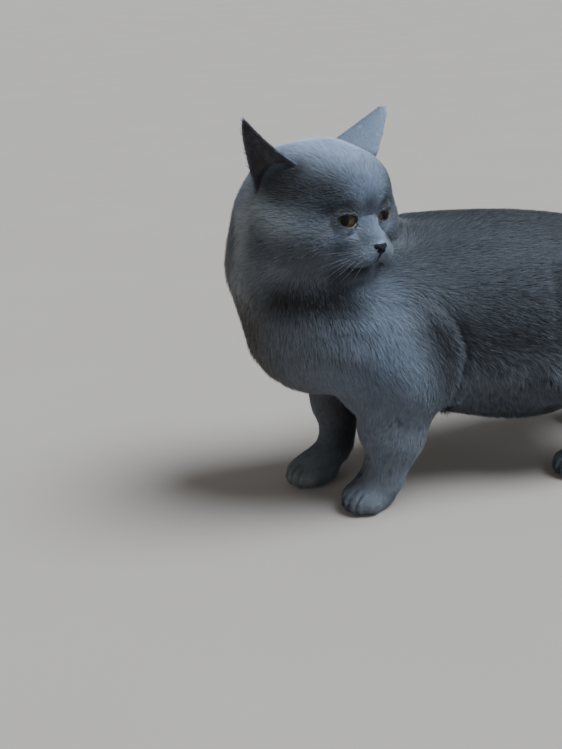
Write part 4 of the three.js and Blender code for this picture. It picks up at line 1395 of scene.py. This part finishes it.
# %% Paint the hairs
hair_paint = Shader(
    "blue_coat", Roughness=0.7, Specular_IOR_Level=0.28, Sheen_Weight=0.1, Sheen_Roughness=0.5
)
along_hair, one_hair, open_coat = (hair_paint.attribute(n) for n in ("along", "strand", "open"))
wave = hair_paint.noise(38, 4).between(0.3, 0.7)
tone = 0.92 + (0.16 + 0.12 * open_coat) * along_hair
# darker towards the root where the coat stands open: the roots' own grey, deepened by painted
# shade
tone = tone - 0.48 * open_coat * (1 - along_hair)
tone = tone + (0.2 + 0.25 * open_coat) * (one_hair - 0.5)
tone = tone + 0.16 * (wave - 0.5)
shade = hair_paint.node("ShaderNodeCombineColor", {}, {0: tone, 1: tone, 2: 1.01 * tone})
hair_colour = hair_paint.mixed(1, hair_paint.attribute("coat_colour", "Color"), shade, "MULTIPLY")
silver = (0.15 + 0.45 * open_coat) * (one_hair.between(0.9, 1) * along_hair)
hair_paint.feed(
    Base_Color=hair_paint.mixed(silver, hair_colour, paint(140, 152, 170)),
    Roughness=0.78 - 0.15 * along_hair,
)
print("the coat is painted")

# %% [markdown]
# All the hairs of the body and head are grown together, so that the tufts don't stop at an edge.
# No hair grows on the lips, the rims of the lids, the nose leather, the soles or inside the eye's
# opening. The coat is most ruffled where it is deep and on the lower flank, and the lie sways a
# little from place to place, as no coat is combed quite straight.

# %% Grow the coat of the body and head
COAT_SHARE = 0.8
SWAY, SWAY_ROUNDS = 0.14, 60
TUFT_HAIRS = 16
NOSE_LEATHER = [(14, 0, -22.2), (19, 0, -22.2)]
SOLE_HEIGHT = 8


def bald_spots(points, normals):
    """1 where no hair grows."""
    head_mm = to_head(points)
    bald = np.clip(1.6 * bare, 0, 1)
    for side in SIDES:
        from_middle = head_mm - EYE_MIDDLES[side]
        out, across, upward = eye_axes(side)
        flat = np.stack((from_middle @ across, from_middle @ upward), 1)
        bald = np.maximum(bald, (almond(flat) < 1.04) & (from_middle @ out > 3))
    bald = np.maximum(bald, 1 - fade(nearest_on(head_mm, NOSE_LEATHER)[1], 5.2, 6.6))
    sole = (normals[:, 2] < -0.6) & (to_body(points)[:, 2] < SOLE_HEIGHT)
    return np.maximum(bald, sole)


places, normals = points_of(skin), normals_of(skin)
depth, length, width, crowd, lie = coat_map(places)
x, _, z = to_body(places).T
low_flank = fade(z, 168, 112) * fade(x, -66, -86) * fade(x, -250, -225)
on_limb = fade(z, 120, 100) * fade(z, 14, 34)
ruffle = 0.8 * fade(depth, 3.5 * MM, 8 * MM) + 0.5 * low_flank
ruffle = np.maximum(ruffle, 0.35 * on_limb)
sway = SWAY * drift(edges_of(skin), len(places), SWAY_ROUNDS)
lie = unit(lie)
lie = lie + sway * np.cross(normals, lie)
roots = Roots(skin, crowd * COAT_SHARE * (1 - bald_spots(places, normals)))
lie = combed(roots.normal, roots.mixed(lie))
depth, length, width, ruffle = (roots.mixed(v) for v in (depth, length, width, ruffle))
points, tone = grow(roots, lie, depth, length, width, ruffle, TUFT_HAIRS)
colour = coat_colour(roots.place) * tone[:, None]
openness = fade(depth, SHALLOW, DEEP)
print(len(points), "hairs on the body and head")

# %% [markdown]
# One mesh of half a million hairs would be too heavy to handle, so the coat is shared out in
# pieces of under 200,000 triangles. A hair belongs to the part of the cat that its root lies in,
# and a part with too many hairs is split again from right to left.

# %% Share the coat out in pieces
MOST_TRIANGLES = 196000
COAT_PARTS = {"tail": -330, "rump": -262, "loin": -196, "ribs": -132, "elbow": -66}  # front edges
HEAD_MIDDLE, HEAD_REACH, HEAD_FOOT = (-40, 0, -5), 78, -58
FACE_EDGE = -34


def part_names(places):
    """The name of the piece that each root belongs to."""
    head_mm, body_mm = to_head(places), to_body(places)
    names = np.full(len(places), "coat_breast", dtype="U24")
    for name, edge in reversed(COAT_PARTS.items()):
        names[body_mm[:, 0] < edge] = f"coat_{name}"
    on_head = (head_mm[:, 2] > HEAD_FOOT) & (gaps(head_mm, HEAD_MIDDLE) < HEAD_REACH)
    names[on_head] = "coat_crown"
    names[on_head & (head_mm[:, 0] > FACE_EDGE)] = "coat_face"
    return names


names = part_names(roots.place)
for name in sorted(set(names)):
    chosen = np.flatnonzero(names == name)
    parts = math.ceil(len(chosen) * len(BLADE_FACES) / MOST_TRIANGLES)
    order = chosen[np.argsort(roots.place[chosen, 1])]
    for i, part in enumerate(np.array_split(order, parts)):
        label = f"{name}_{i + 1}"
        mesh = hair_mesh(label, points[part], roots.patch[part], colour[part], openness[part])
        shown(label, mesh, hair_paint.material)
        print(label, len(part), "hairs")

# %% [markdown]
# The ears have the shortest coat, on the back of the sheet, and long fine hairs that cross the
# hollow from its front edge. The same three functions grow them, with the ear's sheet as their
# ground.

# %% Grow the hairs of the ears
EAR_CROWD = (0.5, 2.4)  # hairs per square millimetre in the hollow, and how many more on the back
EAR_DEPTH, EAR_WIDTH = 0.6, 0.3
# hairs in the hollow are darker: partly their own colour, partly painted shade inside the cup
EAR_HOLLOW = paint(58, 61, 68)
EAR_TUFT = 14

for side, piece, inside in ears:
    back = 1 - inside
    front, rear, tip = (in_head([corner])[0] for corner in EAR_CORNERS[side])
    ear_roots = Roots(piece.data, (EAR_CROWD[0] + EAR_CROWD[1] * back) * COAT_SHARE)
    up_ear = unit((tip - (front + rear) / 2)[None])
    to_rear = unit((rear - front)[None])
    within = 1 - ear_roots.mixed(back)
    lie = combed(ear_roots.normal, up_ear + 0.5 * within[:, None] * to_rear)
    flat_coat = np.full(ear_roots.count, EAR_DEPTH) * MM
    fine = np.full(ear_roots.count, EAR_WIDTH) * MM
    long = (3 + 3 * within) * MM
    points = grow(ear_roots, lie, flat_coat, long, fine, 0.3 + 0.2 * within, EAR_TUFT)[0]
    # hairs pale on the ear's back, partly painted light, and darker in the hollow, partly painted
    # shade
    colour = EAR_BACK + within[:, None] * (EAR_HOLLOW - EAR_BACK)
    label = f"ear_coat_{SIDES[side]}"
    mesh = hair_mesh(label, points, ear_roots.patch, colour, 0.3 * within)
    shown(label, mesh, hair_paint.material)
    print(label, ear_roots.count, "hairs")

# %% [markdown]
# Whiskers are the stiffest hairs of all. About a dozen stand on each side of the lips in three
# rows, with a few over each eye, and each one bends gently back and thins to nothing. They are
# strands like the rims, with a radius that shrinks along them.

# %% Set the whiskers
WHISKER_POINTS = 12
LIP_WHISKER, BROW_WHISKER = 0.11, 0.08  # radius at the root

whisker_paint = Shader("whisker", Roughness=0.35, Specular_IOR_Level=0.5)
pale = whisker_paint.noise(90, 2).between(0.3, 0.7)
whisker_paint.feed(Base_Color=whisker_paint.mixed(pale, paint(92, 102, 116), paint(128, 138, 152)))


def whisker(root, out, droop, long, thick):
    """A bent strand from a root, going out and then along the droop."""
    t = np.linspace(0, 1, WHISKER_POINTS)[:, None]
    out, droop = np.array(out, float), np.array(droop, float)
    out /= np.linalg.norm(out)
    places = np.array(root) + long * (out * t + droop * t**2)
    return in_head(places), thick * (1 - 0.92 * t[:, 0]) * MM


whiskers = []
for side in SIDES:
    for row in range(3):
        for i in range(4):
            aside = side * (9.5 + 2.6 * i)
            root = (11.5 - 2.6 * i - 0.6 * row, aside, -26.5 - 2.9 * row + 0.3 * i)
            out = (0.5 - 0.12 * i, side, 0.22 - 0.24 * row)
            falling = -0.2 - 0.06 * row + 0.04 * chance.standard_normal()
            droop = (-0.32 - 0.05 * i, side * -0.06, falling)
            long = 22 + 4 * i + 5 * chance.random()
            whiskers.append(whisker(root, out, droop, long, LIP_WHISKER))
    for i in range(3):
        root = (0.5 - 1.5 * i, side * (19 + 4 * i), 12.5)
        out, droop = (0.6, side * 0.45, 0.75), (-0.35, side * 0.1, 0)
        whiskers.append(whisker(root, out, droop, 15 - 2 * i, BROW_WHISKER))
shown("whiskers", strands("whiskers", whiskers), whisker_paint.material)
print(len(whiskers), "whiskers")

# %% [markdown]
# The last cell prints the imported model's box and the finished cat's.

# %% Print the sizes
boxes = {"cad": cad_box, "visual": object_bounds()}
boxes = {name: [list(corner) for corner in box] for name, box in boxes.items()}
print(boxes)
